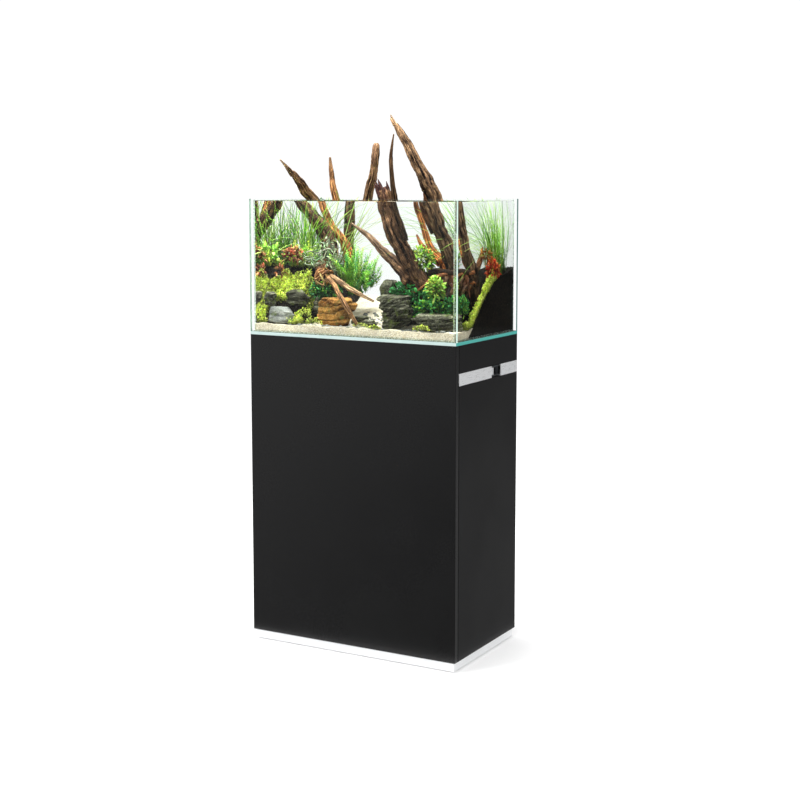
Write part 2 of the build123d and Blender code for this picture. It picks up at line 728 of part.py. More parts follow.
make_plinth()
make_feet()
make_floor_and_top()
make_back()
make_sides()
make_shelf()
make_side_fittings()
make_door()
make_hinges()
make_bumpers()
make_latch()
make_glass()
make_scape()
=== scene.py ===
"""Looks of the planted aquarium on its cabinet stand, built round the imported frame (metres)."""
import math

import bmesh
import bpy
import numpy as np
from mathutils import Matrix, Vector


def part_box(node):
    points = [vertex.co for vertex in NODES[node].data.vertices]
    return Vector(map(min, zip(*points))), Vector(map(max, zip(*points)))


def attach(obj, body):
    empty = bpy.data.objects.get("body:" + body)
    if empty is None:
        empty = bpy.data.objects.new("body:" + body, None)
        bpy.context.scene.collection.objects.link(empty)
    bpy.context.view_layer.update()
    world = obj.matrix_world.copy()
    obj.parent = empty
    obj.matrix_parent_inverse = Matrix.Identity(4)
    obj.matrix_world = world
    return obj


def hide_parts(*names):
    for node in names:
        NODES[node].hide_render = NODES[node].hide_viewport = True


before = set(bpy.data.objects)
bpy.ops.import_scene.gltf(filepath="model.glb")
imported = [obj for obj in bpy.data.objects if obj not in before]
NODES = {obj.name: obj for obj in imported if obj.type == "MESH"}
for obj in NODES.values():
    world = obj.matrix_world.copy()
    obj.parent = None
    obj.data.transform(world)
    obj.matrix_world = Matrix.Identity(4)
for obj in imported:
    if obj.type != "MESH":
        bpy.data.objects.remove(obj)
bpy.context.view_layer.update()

STAND = "stand_and_tank"
MM = 0.001

# ---- the tank's inside, from the frame ------------------------------------------------
PANE_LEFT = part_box("glass_left")[1].x
PANE_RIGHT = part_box("glass_right")[0].x
PANE_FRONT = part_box("glass_front")[1].y
PANE_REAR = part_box("glass_rear")[0].y
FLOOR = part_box("glass_base")[1].z
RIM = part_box("glass_front")[1].z
WATER_TOP = RIM - 0.005
CLEAR = 0.0002              # gap that keeps the water off the panes
BEND = 0.005                # leaves this near a pane are bent along it
SAND_Z = FLOOR + 0.020


# ---- random and noise helpers ---------------------------------------------------------
def lattice(cell, seed):
    """Repeatable values from 0 to 1 on whole-number lattice points."""
    x, y, z = (cell[..., i].astype(np.int64) for i in range(3))
    h = (x * 73856093) ^ (y * 19349663) ^ (z * 83492791) ^ (seed * 2654435761)
    h = ((h ^ (h >> 13)) * 1274126177) & 0xFFFFFFFF
    h = h ^ (h >> 16)
    return (h & 0xFFFF) / 65535.0


def noise(points, seed):
    """Smooth value noise from -1 to 1."""
    points = np.asarray(points, float)
    low = np.floor(points)
    part = points - low
    part = part * part * (3 - 2 * part)
    total = 0
    for corner in range(8):
        step = np.array([corner & 1, (corner >> 1) & 1, corner >> 2])
        weight = np.prod(np.where(step == 1, part, 1 - part), axis=-1)
        total = total + weight * lattice(low + step, seed)
    return 2 * total - 1


def fbm(points, octaves, seed):
    """Several octaves of noise added up."""
    points = np.asarray(points, float)
    total = 0
    size = 1.0
    for octave in range(octaves):
        total = total + size * noise(points * 2.0 ** octave, seed + octave)
        size *= 0.5
    return total


def unit(vectors):
    return vectors / np.maximum(np.linalg.norm(vectors, axis=-1, keepdims=True), 1e-9)


# ---- mesh helpers ---------------------------------------------------------------------
TINT_SPREAD = 0.12
LEAF = (0, 0.62, 1.0, 0.72, 0)      # half widths of a leaf from its foot to its tip


def build(name, verts, faces, tint=None, grain=None, smooth=True):
    """A mesh object from arrays, with a colour and a grain vector per vertex."""
    mesh = bpy.data.meshes.new(name)
    mesh.from_pydata(np.asarray(verts, float).tolist(), [], faces)
    mesh.validate()
    if tint is not None:
        layer = mesh.color_attributes.new("tint", "FLOAT_COLOR", "POINT")
        rgba = np.ones((len(verts), 4))
        rgba[:, :3] = tint
        layer.data.foreach_set("color", rgba.ravel())
    if grain is not None:
        layer = mesh.attributes.new("grain", "FLOAT_VECTOR", "POINT")
        layer.data.foreach_set("vector", np.asarray(grain, float).ravel())
    mesh.polygons.foreach_set("use_smooth", [smooth] * len(mesh.polygons))
    obj = bpy.data.objects.new(name, mesh)
    bpy.context.scene.collection.objects.link(obj)
    return obj


class Shell:
    """Collects several closed shells of vertices, faces, tints and grain into one mesh."""

    def __init__(self):
        self.verts, self.faces, self.tints, self.grains = [], [], [], []
        self.count = 0

    def add(self, verts, faces, tint, grain=None):
        verts = np.asarray(verts, float)
        self.verts.append(verts)
        self.faces.extend([[i + self.count for i in face] for face in faces])
        self.tints.append(np.broadcast_to(np.asarray(tint, float), verts.shape))
        self.grains.append(np.zeros(verts.shape) if grain is None else grain)
        self.count += len(verts)

    def build(self, name):
        return build(name, np.vstack(self.verts), self.faces, np.vstack(self.tints), np.vstack(self.grains))


def ribbons(shell, lines, widths, thick, tints, along=(0.7, 1.15), side=None):
    """Closed leaves or blades: lines is (count, stations, 3), widths the half width at each station."""
    lines = np.asarray(lines, float)
    count, stations, _ = lines.shape
    widths = np.broadcast_to(np.asarray(widths, float), (count, stations))
    ahead = unit(np.gradient(lines, axis=1))
    if side is None:
        side = np.cross(ahead[:, stations // 2], [0.05, 0.03, 1.0])
    side = unit(np.broadcast_to(side, (count, 3)))[:, None, :]
    face = unit(np.cross(side, ahead))
    inner = slice(1, stations - 1)
    across = side * widths[:, inner, None]
    through = face[:, inner] * thick
    middle = lines[:, inner]
    ring = np.stack([middle - across, middle + through, middle + across, middle - through], 2)
    rows = stations - 2
    verts = np.concatenate([lines[:, :1], ring.reshape(count, rows * 4, 3), lines[:, -1:]], 1)
    pattern = [(0, 1 + (j + 1) % 4, 1 + j) for j in range(4)]
    for row in range(rows - 1):
        low = 1 + 4 * row
        pattern += [(low + j, low + (j + 1) % 4, low + 4 + (j + 1) % 4, low + 4 + j) for j in range(4)]
    low = 1 + 4 * (rows - 1)
    tip = 1 + 4 * rows
    pattern += [(low + j, low + (j + 1) % 4, tip) for j in range(4)]
    each = tip + 1
    faces = [[k + each * i for k in corners] for i in range(count) for corners in pattern]
    fade = np.concatenate([[along[0]], np.repeat(np.linspace(along[0], along[1], rows), 4), [along[1]]])
    tints = np.broadcast_to(np.asarray(tints, float), (count, 3))
    shell.add(verts.reshape(-1, 3), faces, (tints[:, None] * fade[None, :, None]).reshape(-1, 3))


def arcs(base, heading, length, droop, stations):
    """Centre lines that leave base along heading and droop more and more towards their tips."""
    t = np.linspace(0, 1, stations)[None, :, None]
    reach = np.asarray(length, float)[:, None, None]
    fall = np.asarray(droop, float)[:, None, None]
    line = base[:, None] + heading[:, None] * reach * t
    line[..., 2:] = line[..., 2:] - (fall * reach * t ** 2)
    return line


def mixed(rng, colours, count):
    """Random tints picked from a list of colours and varied a little."""
    colours = np.asarray(colours, float)
    picked = colours[rng.integers(0, len(colours), count)]
    lighter = rng.uniform(1 - TINT_SPREAD * 2, 1 + TINT_SPREAD * 2, (count, 1))
    return picked * lighter * rng.uniform(1 - TINT_SPREAD, 1 + TINT_SPREAD, (count, 3))


def place(obj, material, replaces=None, body=STAND):
    """Gives a piece its material and body, and hides the CAD nodes it stands for."""
    obj.data.materials.clear()
    obj.data.materials.append(material)
    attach(obj, body)
    if replaces:
        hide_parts(*replaces)


# ---- material helpers -------------------------------------------------------------------
class Shader:
    """A new material with a Principled shader, and short ways to add nodes to it."""

    def __init__(self, name, **values):
        self.material = bpy.data.materials.new(name)
        self.material.use_nodes = True
        self.tree = self.material.node_tree
        self.tree.nodes.clear()
        self.out = self.node("ShaderNodeOutputMaterial")
        self.bsdf = self.node("ShaderNodeBsdfPrincipled")
        self.link(self.bsdf.outputs[0], self.out.inputs["Surface"])
        for key, value in values.items():
            self.bsdf.inputs[key.replace("_", " ")].default_value = value

    def node(self, kind, **settings):
        node = self.tree.nodes.new(kind)
        for key, value in settings.items():
            setattr(node, key, value)
        return node

    def link(self, source, target):
        self.tree.links.new(source, target)

    def coords(self, scale=(1, 1, 1), grain=False, turn=(0, 0, 0)):
        """Object coordinates, or the grain vectors of a mesh, scaled."""
        if grain:
            source = self.node("ShaderNodeAttribute", attribute_name="grain").outputs["Vector"]
        else:
            source = self.node("ShaderNodeTexCoord").outputs["Object"]
        mapping = self.node("ShaderNodeMapping")
        mapping.inputs["Scale"].default_value = scale
        mapping.inputs["Rotation"].default_value = turn
        self.link(source, mapping.inputs["Vector"])
        return mapping.outputs[0]

    def noise(self, vector, scale, detail=4.0, rough=0.55, distortion=0.0):
        node = self.node("ShaderNodeTexNoise")
        self.link(vector, node.inputs["Vector"])
        node.inputs["Scale"].default_value = scale
        node.inputs["Detail"].default_value = detail
        node.inputs["Roughness"].default_value = rough
        node.inputs["Distortion"].default_value = distortion
        return node.outputs["Fac"]

    def cells(self, vector, scale, output="Distance"):
        node = self.node("ShaderNodeTexVoronoi")
        self.link(vector, node.inputs["Vector"])
        node.inputs["Scale"].default_value = scale
        return node.outputs[output]

    def ramp(self, value, stops):
        """A colour ramp: stops are (position, (r, g, b))."""
        node = self.node("ShaderNodeValToRGB")
        ramp = node.color_ramp
        while len(ramp.elements) < len(stops):
            ramp.elements.new(0.5)
        for element, (position, colour) in zip(ramp.elements, stops):
            element.position = position
            element.color = (*colour, 1)
        self.link(value, node.inputs["Fac"])
        return node.outputs["Color"]

    def span(self, value, low, high, source):
        """Maps the source range to low and high."""
        node = self.node("ShaderNodeMapRange")
        self.link(value, node.inputs["Value"])
        node.inputs["From Min"].default_value = source[0]
        node.inputs["From Max"].default_value = source[1]
        node.inputs["To Min"].default_value = low
        node.inputs["To Max"].default_value = high
        return node.outputs[0]

    def mix(self, factor, a, b, blend="MIX"):
        """Mixes two colours; a, b and the factor are sockets or values."""
        node = self.node("ShaderNodeMix", data_type="RGBA", blend_type=blend)
        for socket, value in ((node.inputs[0], factor), (node.inputs[6], a), (node.inputs[7], b)):
            if isinstance(value, bpy.types.NodeSocket):
                self.link(value, socket)
            else:
                socket.default_value = value if isinstance(value, float) else (*value, 1)
        return node.outputs[2]

    def math(self, operation, a, b=0.0):
        """One sum of two sockets or values."""
        node = self.node("ShaderNodeMath", operation=operation)
        for socket, value in zip(node.inputs, (a, b)):
            if isinstance(value, bpy.types.NodeSocket):
                self.link(value, socket)
            else:
                socket.default_value = value
        return node.outputs[0]

    def tint(self):
        return self.node("ShaderNodeAttribute", attribute_name="tint").outputs["Color"]

    def colour(self, socket):
        self.link(socket, self.bsdf.inputs["Base Color"])

    def rough(self, socket):
        self.link(socket, self.bsdf.inputs["Roughness"])

    def bump(self, height, strength, distance):
        node = self.node("ShaderNodeBump")
        node.inputs["Strength"].default_value = strength
        node.inputs["Distance"].default_value = distance
        self.link(height, node.inputs["Height"])
        self.link(node.outputs[0], self.bsdf.inputs["Normal"])


# ---- materials of the cabinet -------------------------------------------------------------
SILVER = (0.90, 0.91, 0.92)


def black_board(name, base, roughness, specular):
    """Black board: a very fine grain, slow changes of sheen and faint handling marks."""
    s = Shader(name, Specular_IOR_Level=specular)
    grain = s.noise(s.coords(), 900.0, 3.0)
    cloud = s.noise(s.coords(), 3.2, 3.0)
    dark = tuple(c * 0.86 for c in base)
    s.colour(s.ramp(cloud, [(0.35, dark), (0.65, base)]))
    marks = s.math("ADD", s.math("MULTIPLY", grain, 0.35), cloud)
    s.rough(s.span(marks, roughness - 0.05, roughness + 0.07, (0.5, 0.9)))
    s.bump(grain, 0.05, 0.0004)
    return s.material


def brushed_metal(name, roughness, scale, patches):
    """Brushed aluminium: fine hairlines along the direction with the smallest scale."""
    s = Shader(name, Metallic=0.55)
    lines = s.noise(s.coords(scale), 1.0, 5.0, 0.7)
    cloud = s.noise(s.coords(), patches, 2.0)
    dark = tuple(c * 0.88 for c in SILVER)
    tone = s.math("ADD", s.math("MULTIPLY", lines, 0.7), s.math("MULTIPLY", cloud, 0.3))
    s.colour(s.ramp(tone, [(0.3, dark), (0.7, SILVER)]))
    s.rough(s.span(lines, roughness - 0.07, roughness + 0.10, (0.3, 0.7)))
    s.bump(lines, 0.12, 0.0002)
    return s.material


def moulded(name, base, roughness):
    """Moulded plastic or rubber with a fine spark-eroded texture."""
    s = Shader(name)
    grain = s.cells(s.coords(), 1400.0)
    cloud = s.noise(s.coords(), 30.0, 3.0)
    s.colour(s.ramp(cloud, [(0.3, tuple(c * 0.8 for c in base)), (0.7, base)]))
    s.rough(s.span(cloud, roughness - 0.06, roughness + 0.08, (0.3, 0.7)))
    s.bump(grain, 0.15, 0.0002)
    return s.material


def plated_steel():
    s = Shader("plated_steel", Metallic=1.0)
    wear = s.noise(s.coords(), 120.0, 5.0)
    s.colour(s.ramp(wear, [(0.3, (0.52, 0.52, 0.50)), (0.7, (0.70, 0.69, 0.66))]))
    s.rough(s.span(wear, 0.16, 0.34, (0.3, 0.7)))
    return s.material


# ---- glass, water and silicone --------------------------------------------------------------
def let_light_through(s, clear):
    """Light reaches what stands behind the surface: its shadow rays pass straight through."""
    path = s.node("ShaderNodeLightPath")
    through = s.node("ShaderNodeBsdfTransparent")
    through.inputs["Color"].default_value = (*clear, 1)
    mix = s.node("ShaderNodeMixShader")
    s.link(path.outputs["Is Shadow Ray"], mix.inputs[0])
    s.link(s.bsdf.outputs[0], mix.inputs[1])
    s.link(through.outputs[0], mix.inputs[2])
    s.link(mix.outputs[0], s.out.inputs["Surface"])


FAINT_MIRROR = 1.05         # index of the panes' faces, so low that little is mirrored


def pane_glass(name, edges, tones, band):
    """Clear float glass, too thin to bend light; faces that look along the axes in edges are opaque green,
    partly the glass's own tint and partly painted light: the pale tones stand for light carried along the
    glass, streaked with the band colour.
    """
    s = Shader(name, Base_Color=(0.9, 1.0, 0.95, 1), Metallic=1.0, Roughness=0.0)
    through = s.node("ShaderNodeBsdfTransparent")
    through.inputs["Color"].default_value = (0.985, 0.995, 0.99, 1)
    mirror = s.node("ShaderNodeFresnel")
    mirror.inputs["IOR"].default_value = FAINT_MIRROR
    clear = s.node("ShaderNodeMixShader")
    s.link(mirror.outputs[0], clear.inputs[0])
    s.link(through.outputs[0], clear.inputs[1])
    s.link(s.bsdf.outputs[0], clear.inputs[2])
    normal = s.node("ShaderNodeNewGeometry").outputs["True Normal"]
    parts = s.node("ShaderNodeSeparateXYZ")
    s.link(normal, parts.inputs[0])
    on_edge = 0.0
    for axis in edges:
        on_edge = s.math("ADD", s.math("ABSOLUTE", parts.outputs[axis]), on_edge)
    bands = s.noise(s.coords((30, 30, 700)), 1.0, 3.0, 0.6)
    edge = s.node("ShaderNodeBsdfPrincipled")
    edge.inputs["Roughness"].default_value = 0.18
    edge.inputs["IOR"].default_value = 1.5
    edge.inputs["Specular IOR Level"].default_value = 0.3
    # Painted light and shade: the edge colour follows which way the face looks.
    tone = s.mix(s.math("ABSOLUTE", parts.outputs["X"]), *tones)
    s.link(s.mix(s.span(bands, 0.0, 0.35, (0.35, 0.7)), tone, band), edge.inputs["Base Color"])
    both = s.node("ShaderNodeMixShader")
    s.link(s.math("GREATER_THAN", on_edge, 0.5), both.inputs[0])
    s.link(clear.outputs[0], both.inputs[1])
    s.link(edge.outputs[0], both.inputs[2])
    s.link(both.outputs[0], s.out.inputs["Surface"])
    return s.material


def clear_water():
    s = Shader("clear_water", Base_Color=(0.995, 1.0, 0.998, 1), Roughness=0.0, IOR=1.30,
               Specular_IOR_Level=0.0, Transmission_Weight=1.0)
    let_light_through(s, (0.99, 1.0, 0.995))
    return s.material


def clear_silicone():
    s = Shader("clear_silicone", Base_Color=(0.86, 0.95, 0.90, 1), IOR=1.41, Transmission_Weight=0.92)
    s.rough(s.span(s.noise(s.coords(), 260.0, 3.0), 0.18, 0.34, (0.3, 0.7)))
    let_light_through(s, (0.9, 0.96, 0.93))
    return s.material


# ---- natural materials ----------------------------------------------------------------------
def driftwood_material():
    """Weathered wood: long fibres, paler where they stand highest, and dark cracks, whose darkness is partly
    painted shade, over a tint per vertex.
    """
    s = Shader("driftwood", Roughness=0.8, Specular_IOR_Level=0.15)
    fibre = s.noise(s.coords((48, 340, 340), grain=True), 1.0, 7.0, 0.72, 0.4)
    hair = s.noise(s.coords((160, 1300, 1300), grain=True), 1.0, 4.0, 0.7, 0.3)
    cracks = s.noise(s.coords((14, 200, 200), grain=True), 1.0, 6.0, 0.65, 0.5)
    blotch = s.noise(s.coords((26, 90, 90), grain=True), 1.0, 5.0, 0.65)
    streaks = s.ramp(fibre, [(0.34, (0.16, 0.12, 0.10)), (0.50, (0.80, 0.74, 0.69)),
                             (0.63, (2.5, 2.3, 2.05))])
    hairs = s.ramp(hair, [(0.34, (0.45, 0.42, 0.40)), (0.64, (1.45, 1.42, 1.38))])
    # The cracks are near black: partly the wood's own colour, partly painted shade in their depth.
    gaps = s.ramp(cracks, [(0.40, (0.05, 0.035, 0.03)), (0.47, (1, 1, 1)), (1.0, (1, 1, 1))])
    patches = s.ramp(blotch, [(0.36, (0.42, 0.36, 0.34)), (0.64, (1.6, 1.5, 1.38))])
    wood = s.mix(1.0, s.tint(), streaks, "MULTIPLY")
    for layer in (hairs, gaps, patches):
        wood = s.mix(1.0, wood, layer, "MULTIPLY")
    s.colour(wood)
    s.bump(s.math("ADD", s.math("MULTIPLY", fibre, 0.7), cracks), 0.8, 0.0016)
    return s.material


def stone_material(name, dark, mid, pale, layers):
    """Weathered stone: tilted layers, blotches and a little moss in random patches, times a tint per vertex
    that carries painted light and shade.
    """
    s = Shader(name, Roughness=0.85, Specular_IOR_Level=0.15)
    bed = s.noise(s.coords((6, 6, layers), turn=(0.10, 0.16, 0)), 1.0, 6.0, 0.65, 0.8)
    speck = s.noise(s.coords(), 420.0, 4.0, 0.7)
    blotch = s.noise(s.coords(), 34.0, 5.0, 0.6)
    tone = s.math("ADD", s.math("MULTIPLY", bed, 0.55), s.math("MULTIPLY", speck, 0.45))
    rock = s.ramp(tone, [(0.34, dark), (0.50, mid), (0.66, pale)])
    worn = s.ramp(blotch, [(0.35, (0.62, 0.62, 0.60)), (0.65, (1.25, 1.25, 1.22))])
    rock = s.mix(1.0, rock, worn, "MULTIPLY")
    # The tint holds painted light on the tops of stones and beds, and painted shade in the gaps between beds.
    rock = s.mix(1.0, rock, s.tint(), "MULTIPLY")
    moss = s.span(s.noise(s.coords(), 55.0, 4.0), 0.0, 0.8, (0.56, 0.70))
    s.colour(s.mix(moss, rock, (0.10, 0.13, 0.03)))
    s.bump(s.math("ADD", bed, s.math("MULTIPLY", speck, 0.5)), 0.6, 0.0016)
    return s.material


def grain_material(name, colours, size, depth):
    """Loose grains: each cell has its own colour, with painted shade in the gaps between the grains."""
    s = Shader(name, Roughness=0.9, Specular_IOR_Level=0.1)
    where = s.coords()
    grain = s.cells(where, 1.0 / size, "Color")
    gap = s.cells(where, 1.0 / size)
    pick = s.node("ShaderNodeSeparateColor")
    s.link(grain, pick.inputs[0])
    count = len(colours)
    stops = [((i + 0.5) / count, colour) for i, colour in enumerate(colours)]
    tone = s.ramp(pick.outputs[0], stops)
    # Painted shade: each grain is darker towards the edge of its cell.
    shade = s.ramp(gap, [(0.25, (1.05, 1.05, 1.05)), (0.85, (0.55, 0.52, 0.49))])
    drift = s.ramp(s.noise(where, 20.0, 3.0), [(0.3, (0.82, 0.80, 0.78)), (0.7, (1.12, 1.1, 1.08))])
    s.colour(s.mix(1.0, s.mix(1.0, tone, shade, "MULTIPLY"), drift, "MULTIPLY"))
    s.bump(gap, -depth, size * 0.6)
    return s.material


def leaf_material(name, roughness, veins):
    """Leaves: a tint per leaf, with fine mottling and veins."""
    s = Shader(name, Roughness=roughness, Specular_IOR_Level=0.2)
    mottle = s.noise(s.coords(), veins, 3.0)
    shade = s.ramp(mottle, [(0.3, (0.70, 0.72, 0.66)), (0.7, (1.22, 1.2, 1.15))])
    s.colour(s.mix(1.0, s.tint(), shade, "MULTIPLY"))
    s.bump(mottle, 0.2, 0.0004)
    return s.material


# ---- driftwood ------------------------------------------------------------------------------
ROOTS = 34                  # at the foot of the tallest piece
GRAIN_RADIUS = 0.012        # radius of the round on which the grain is wrapped
DARK_WOOD = (0.036, 0.024, 0.014)
RED_WOOD = (0.19, 0.085, 0.040)
BROWN_WOOD = (0.19, 0.125, 0.070)
PALE_WOOD = (0.46, 0.33, 0.20)
GREY_WOOD = (0.50, 0.44, 0.36)
ORANGE_WOOD = (0.50, 0.21, 0.06)


def smooth_line(points, step):
    """Points along a Catmull-Rom curve through a list of points of any dimension."""
    points = np.asarray(points, float)
    padded = np.vstack([2 * points[0] - points[1], points, 2 * points[-1] - points[-2]])
    out = []
    for a, b, c, d in zip(padded, padded[1:], padded[2:], padded[3:]):
        count = max(2, int(np.linalg.norm(c[:3] - b[:3]) / step))
        t = np.linspace(0, 1, count, endpoint=False)[:, None]
        square = (2 * a - 5 * b + 4 * c - d) * t ** 2
        cube = (3 * b - a - 3 * c + d) * t ** 3
        out.append(0.5 * ((2 * b) + (c - a) * t + square + cube))
    out.append(points[-1][None, :])
    return np.vstack(out)


def rings_along(line, radii, segments, shape):
    """Closed tube round a line; shape(angle, distance along) scales the radius of each point."""
    ahead = unit(np.gradient(line, axis=0))
    side = np.zeros_like(line)
    start = np.cross(ahead[0], [0.3, 0.9, 0.1])
    side[0] = start / np.linalg.norm(start)
    for i in range(1, len(line)):
        carried = side[i - 1] - ahead[i] * side[i - 1].dot(ahead[i])
        side[i] = carried / np.linalg.norm(carried)
    other = np.cross(ahead, side)
    angle = np.linspace(0, 2 * math.pi, segments, endpoint=False)
    along = np.concatenate([[0], np.cumsum(np.linalg.norm(np.diff(line, axis=0), axis=1))])
    around = side[:, None] * np.cos(angle)[None, :, None] + other[:, None] * np.sin(angle)[None, :, None]
    size = radii[:, None] * shape(angle[None, :], along[:, None])
    verts = (line[:, None] + around * size[..., None]).reshape(-1, 3)
    turn = np.stack([np.cos(angle), np.sin(angle)], -1)[None] * GRAIN_RADIUS
    lengthwise = np.broadcast_to(along[:, None, None], (len(line), segments, 1))
    grain = np.concatenate([lengthwise, np.broadcast_to(turn, (len(line), segments, 2))], -1).reshape(-1, 3)
    faces = []
    for i in range(len(line) - 1):
        row = i * segments
        for j in range(segments):
            k = (j + 1) % segments
            faces.append((row + j, row + segments + j, row + segments + k, row + k))
    count = len(verts)
    last = (len(line) - 1) * segments
    verts = np.vstack([verts, line[0], line[-1]])
    grain = np.vstack([grain, grain[0], grain[-1]])
    faces += [(count, (j + 1) % segments, j)[::-1] for j in range(segments)]
    faces += [(count + 1, last + (j + 1) % segments, last + j) for j in range(segments)]
    return verts, faces, grain, along


def limb(shell, points, radii, seed, top, bottom, ridge=0.13, lump=0.10, segments=40, step=0.0022, fade=0.6):
    """One weathered limb, from its tip to its foot; its colour runs from top to bottom."""
    rows = np.hstack([np.asarray(points, float) * MM, np.asarray(radii, float)[:, None] * MM])
    rows = smooth_line(rows, step)
    line, size = rows[:, :3], np.maximum(rows[:, 3], 0.0008)
    length = np.linalg.norm(np.diff(line, axis=0), axis=1).sum()
    travel = np.linspace(0, length, len(line))
    wander = np.stack([fbm(np.stack([travel * 40, travel * 0 + axis * 7.3, travel * 0], 1), 3, seed + axis)
                       for axis in range(3)], 1)
    line = line + wander * size[:, None] * 0.12
    size = size * (1 + 0.06 * fbm(np.stack([travel * 30, travel * 0, travel * 0], 1), 3, seed + 5))

    def crack(angle, along):
        angle, along = np.broadcast_arrays(angle + along * 1.2, along)
        where = np.stack([np.cos(angle) * 1.9, np.sin(angle) * 1.9, along * 11.0], -1)
        return np.exp(-(noise(where, seed + 21) / 0.11) ** 2)

    def shape(angle, along):
        gap = crack(angle, along)
        angle, along = np.broadcast_arrays(angle + along * 1.2, along)
        flute = np.stack([np.cos(angle) * 2.6, np.sin(angle) * 2.6, along * 9.0], -1)
        fine = np.stack([np.cos(angle) * 7.0, np.sin(angle) * 7.0, along * 30.0], -1)
        swell = np.stack([np.cos(angle) * 1.2, np.sin(angle) * 1.2, along * 16.0], -1)
        grooves = 1 - np.abs(noise(flute, seed + 11)) * 2
        plates = np.stack([along * 30 + 1.6 * np.cos(angle), angle * 1.3 + along * 12, along * 0], -1)
        flakes = lattice(np.floor(plates + 0.4 * noise(fine, seed + 14)[..., None]), seed + 15) - 0.5
        rough = 0.09 * noise(fine, seed + 12) + lump * fbm(swell, 2, seed + 13) + 0.10 * flakes
        return 1 + ridge * grooves + rough - 0.22 * gap

    verts, faces, grain, along = rings_along(line, size, segments, shape)
    angle = np.linspace(0, 2 * math.pi, segments, endpoint=False)
    # The cracks are also darkened in the tint: partly the wood's own colour, partly painted shade in them.
    gap = np.concatenate([crack(angle[None, :], along[:, None]).ravel(), [0, 0]])[:, None]
    share = np.concatenate([np.repeat(along / along[-1], segments), [0, 1]])[:, None] ** fade
    tint = (np.asarray(top) * (1 - share) + np.asarray(bottom) * share) * (1 - 0.72 * gap)
    shell.add(verts, faces, tint, grain)


def splinters(shell, centre, direction, spread, count, length, seed, tint, thickness=(2.2, 4.6)):
    """Thin torn fibres that stand out of a broken end."""
    rng = np.random.default_rng(seed)
    direction = np.asarray(direction)
    for number in range(count):
        sideways = rng.normal(0, 1, 3) * spread
        start = np.asarray(centre, float) + sideways
        reach = length * rng.uniform(0.35, 1.0)
        end = start + direction * reach + sideways * 0.25
        middle = (start + end) / 2 + rng.normal(0, 0.8, 3)
        thick = rng.uniform(*thickness)
        limb(shell, [end, middle, start - direction * 10], [0.6, thick * 0.75, thick], seed + number,
             tint, tint, segments=10, step=0.003)


def root_knot(shell, centre, radius, strands, seed):
    """A ball of thin roots wound round each other."""
    rng = np.random.default_rng(seed)
    centre = np.asarray(centre, float)
    limb(shell, [centre + [0, 0, radius * 0.7], centre, centre - [0, 0, radius * 0.7]],
         [radius * 0.45, radius * 0.78, radius * 0.45], seed, DARK_WOOD, DARK_WOOD, segments=20)
    for number in range(strands):
        first = unit(rng.normal(0, 1, 3))
        second = unit(np.cross(first, rng.normal(0, 1, 3)))
        turn = np.linspace(0, rng.uniform(2.0, 4.5), 7)[:, None]
        swell = radius * rng.uniform(0.78, 1.0) * (1 + 0.08 * rng.normal(0, 1, (7, 1)))
        points = centre + (first * np.cos(turn) + second * np.sin(turn)) * swell
        thick = rng.uniform(1.6, 3.4)
        tint = mixed(rng, [(0.52, 0.33, 0.15), (0.30, 0.17, 0.07), (0.60, 0.44, 0.25)], 1)[0]
        limb(shell, points, [thick * 0.5] + [thick] * 5 + [thick * 0.5], seed + number,
             tint, tint, segments=10, step=0.003)


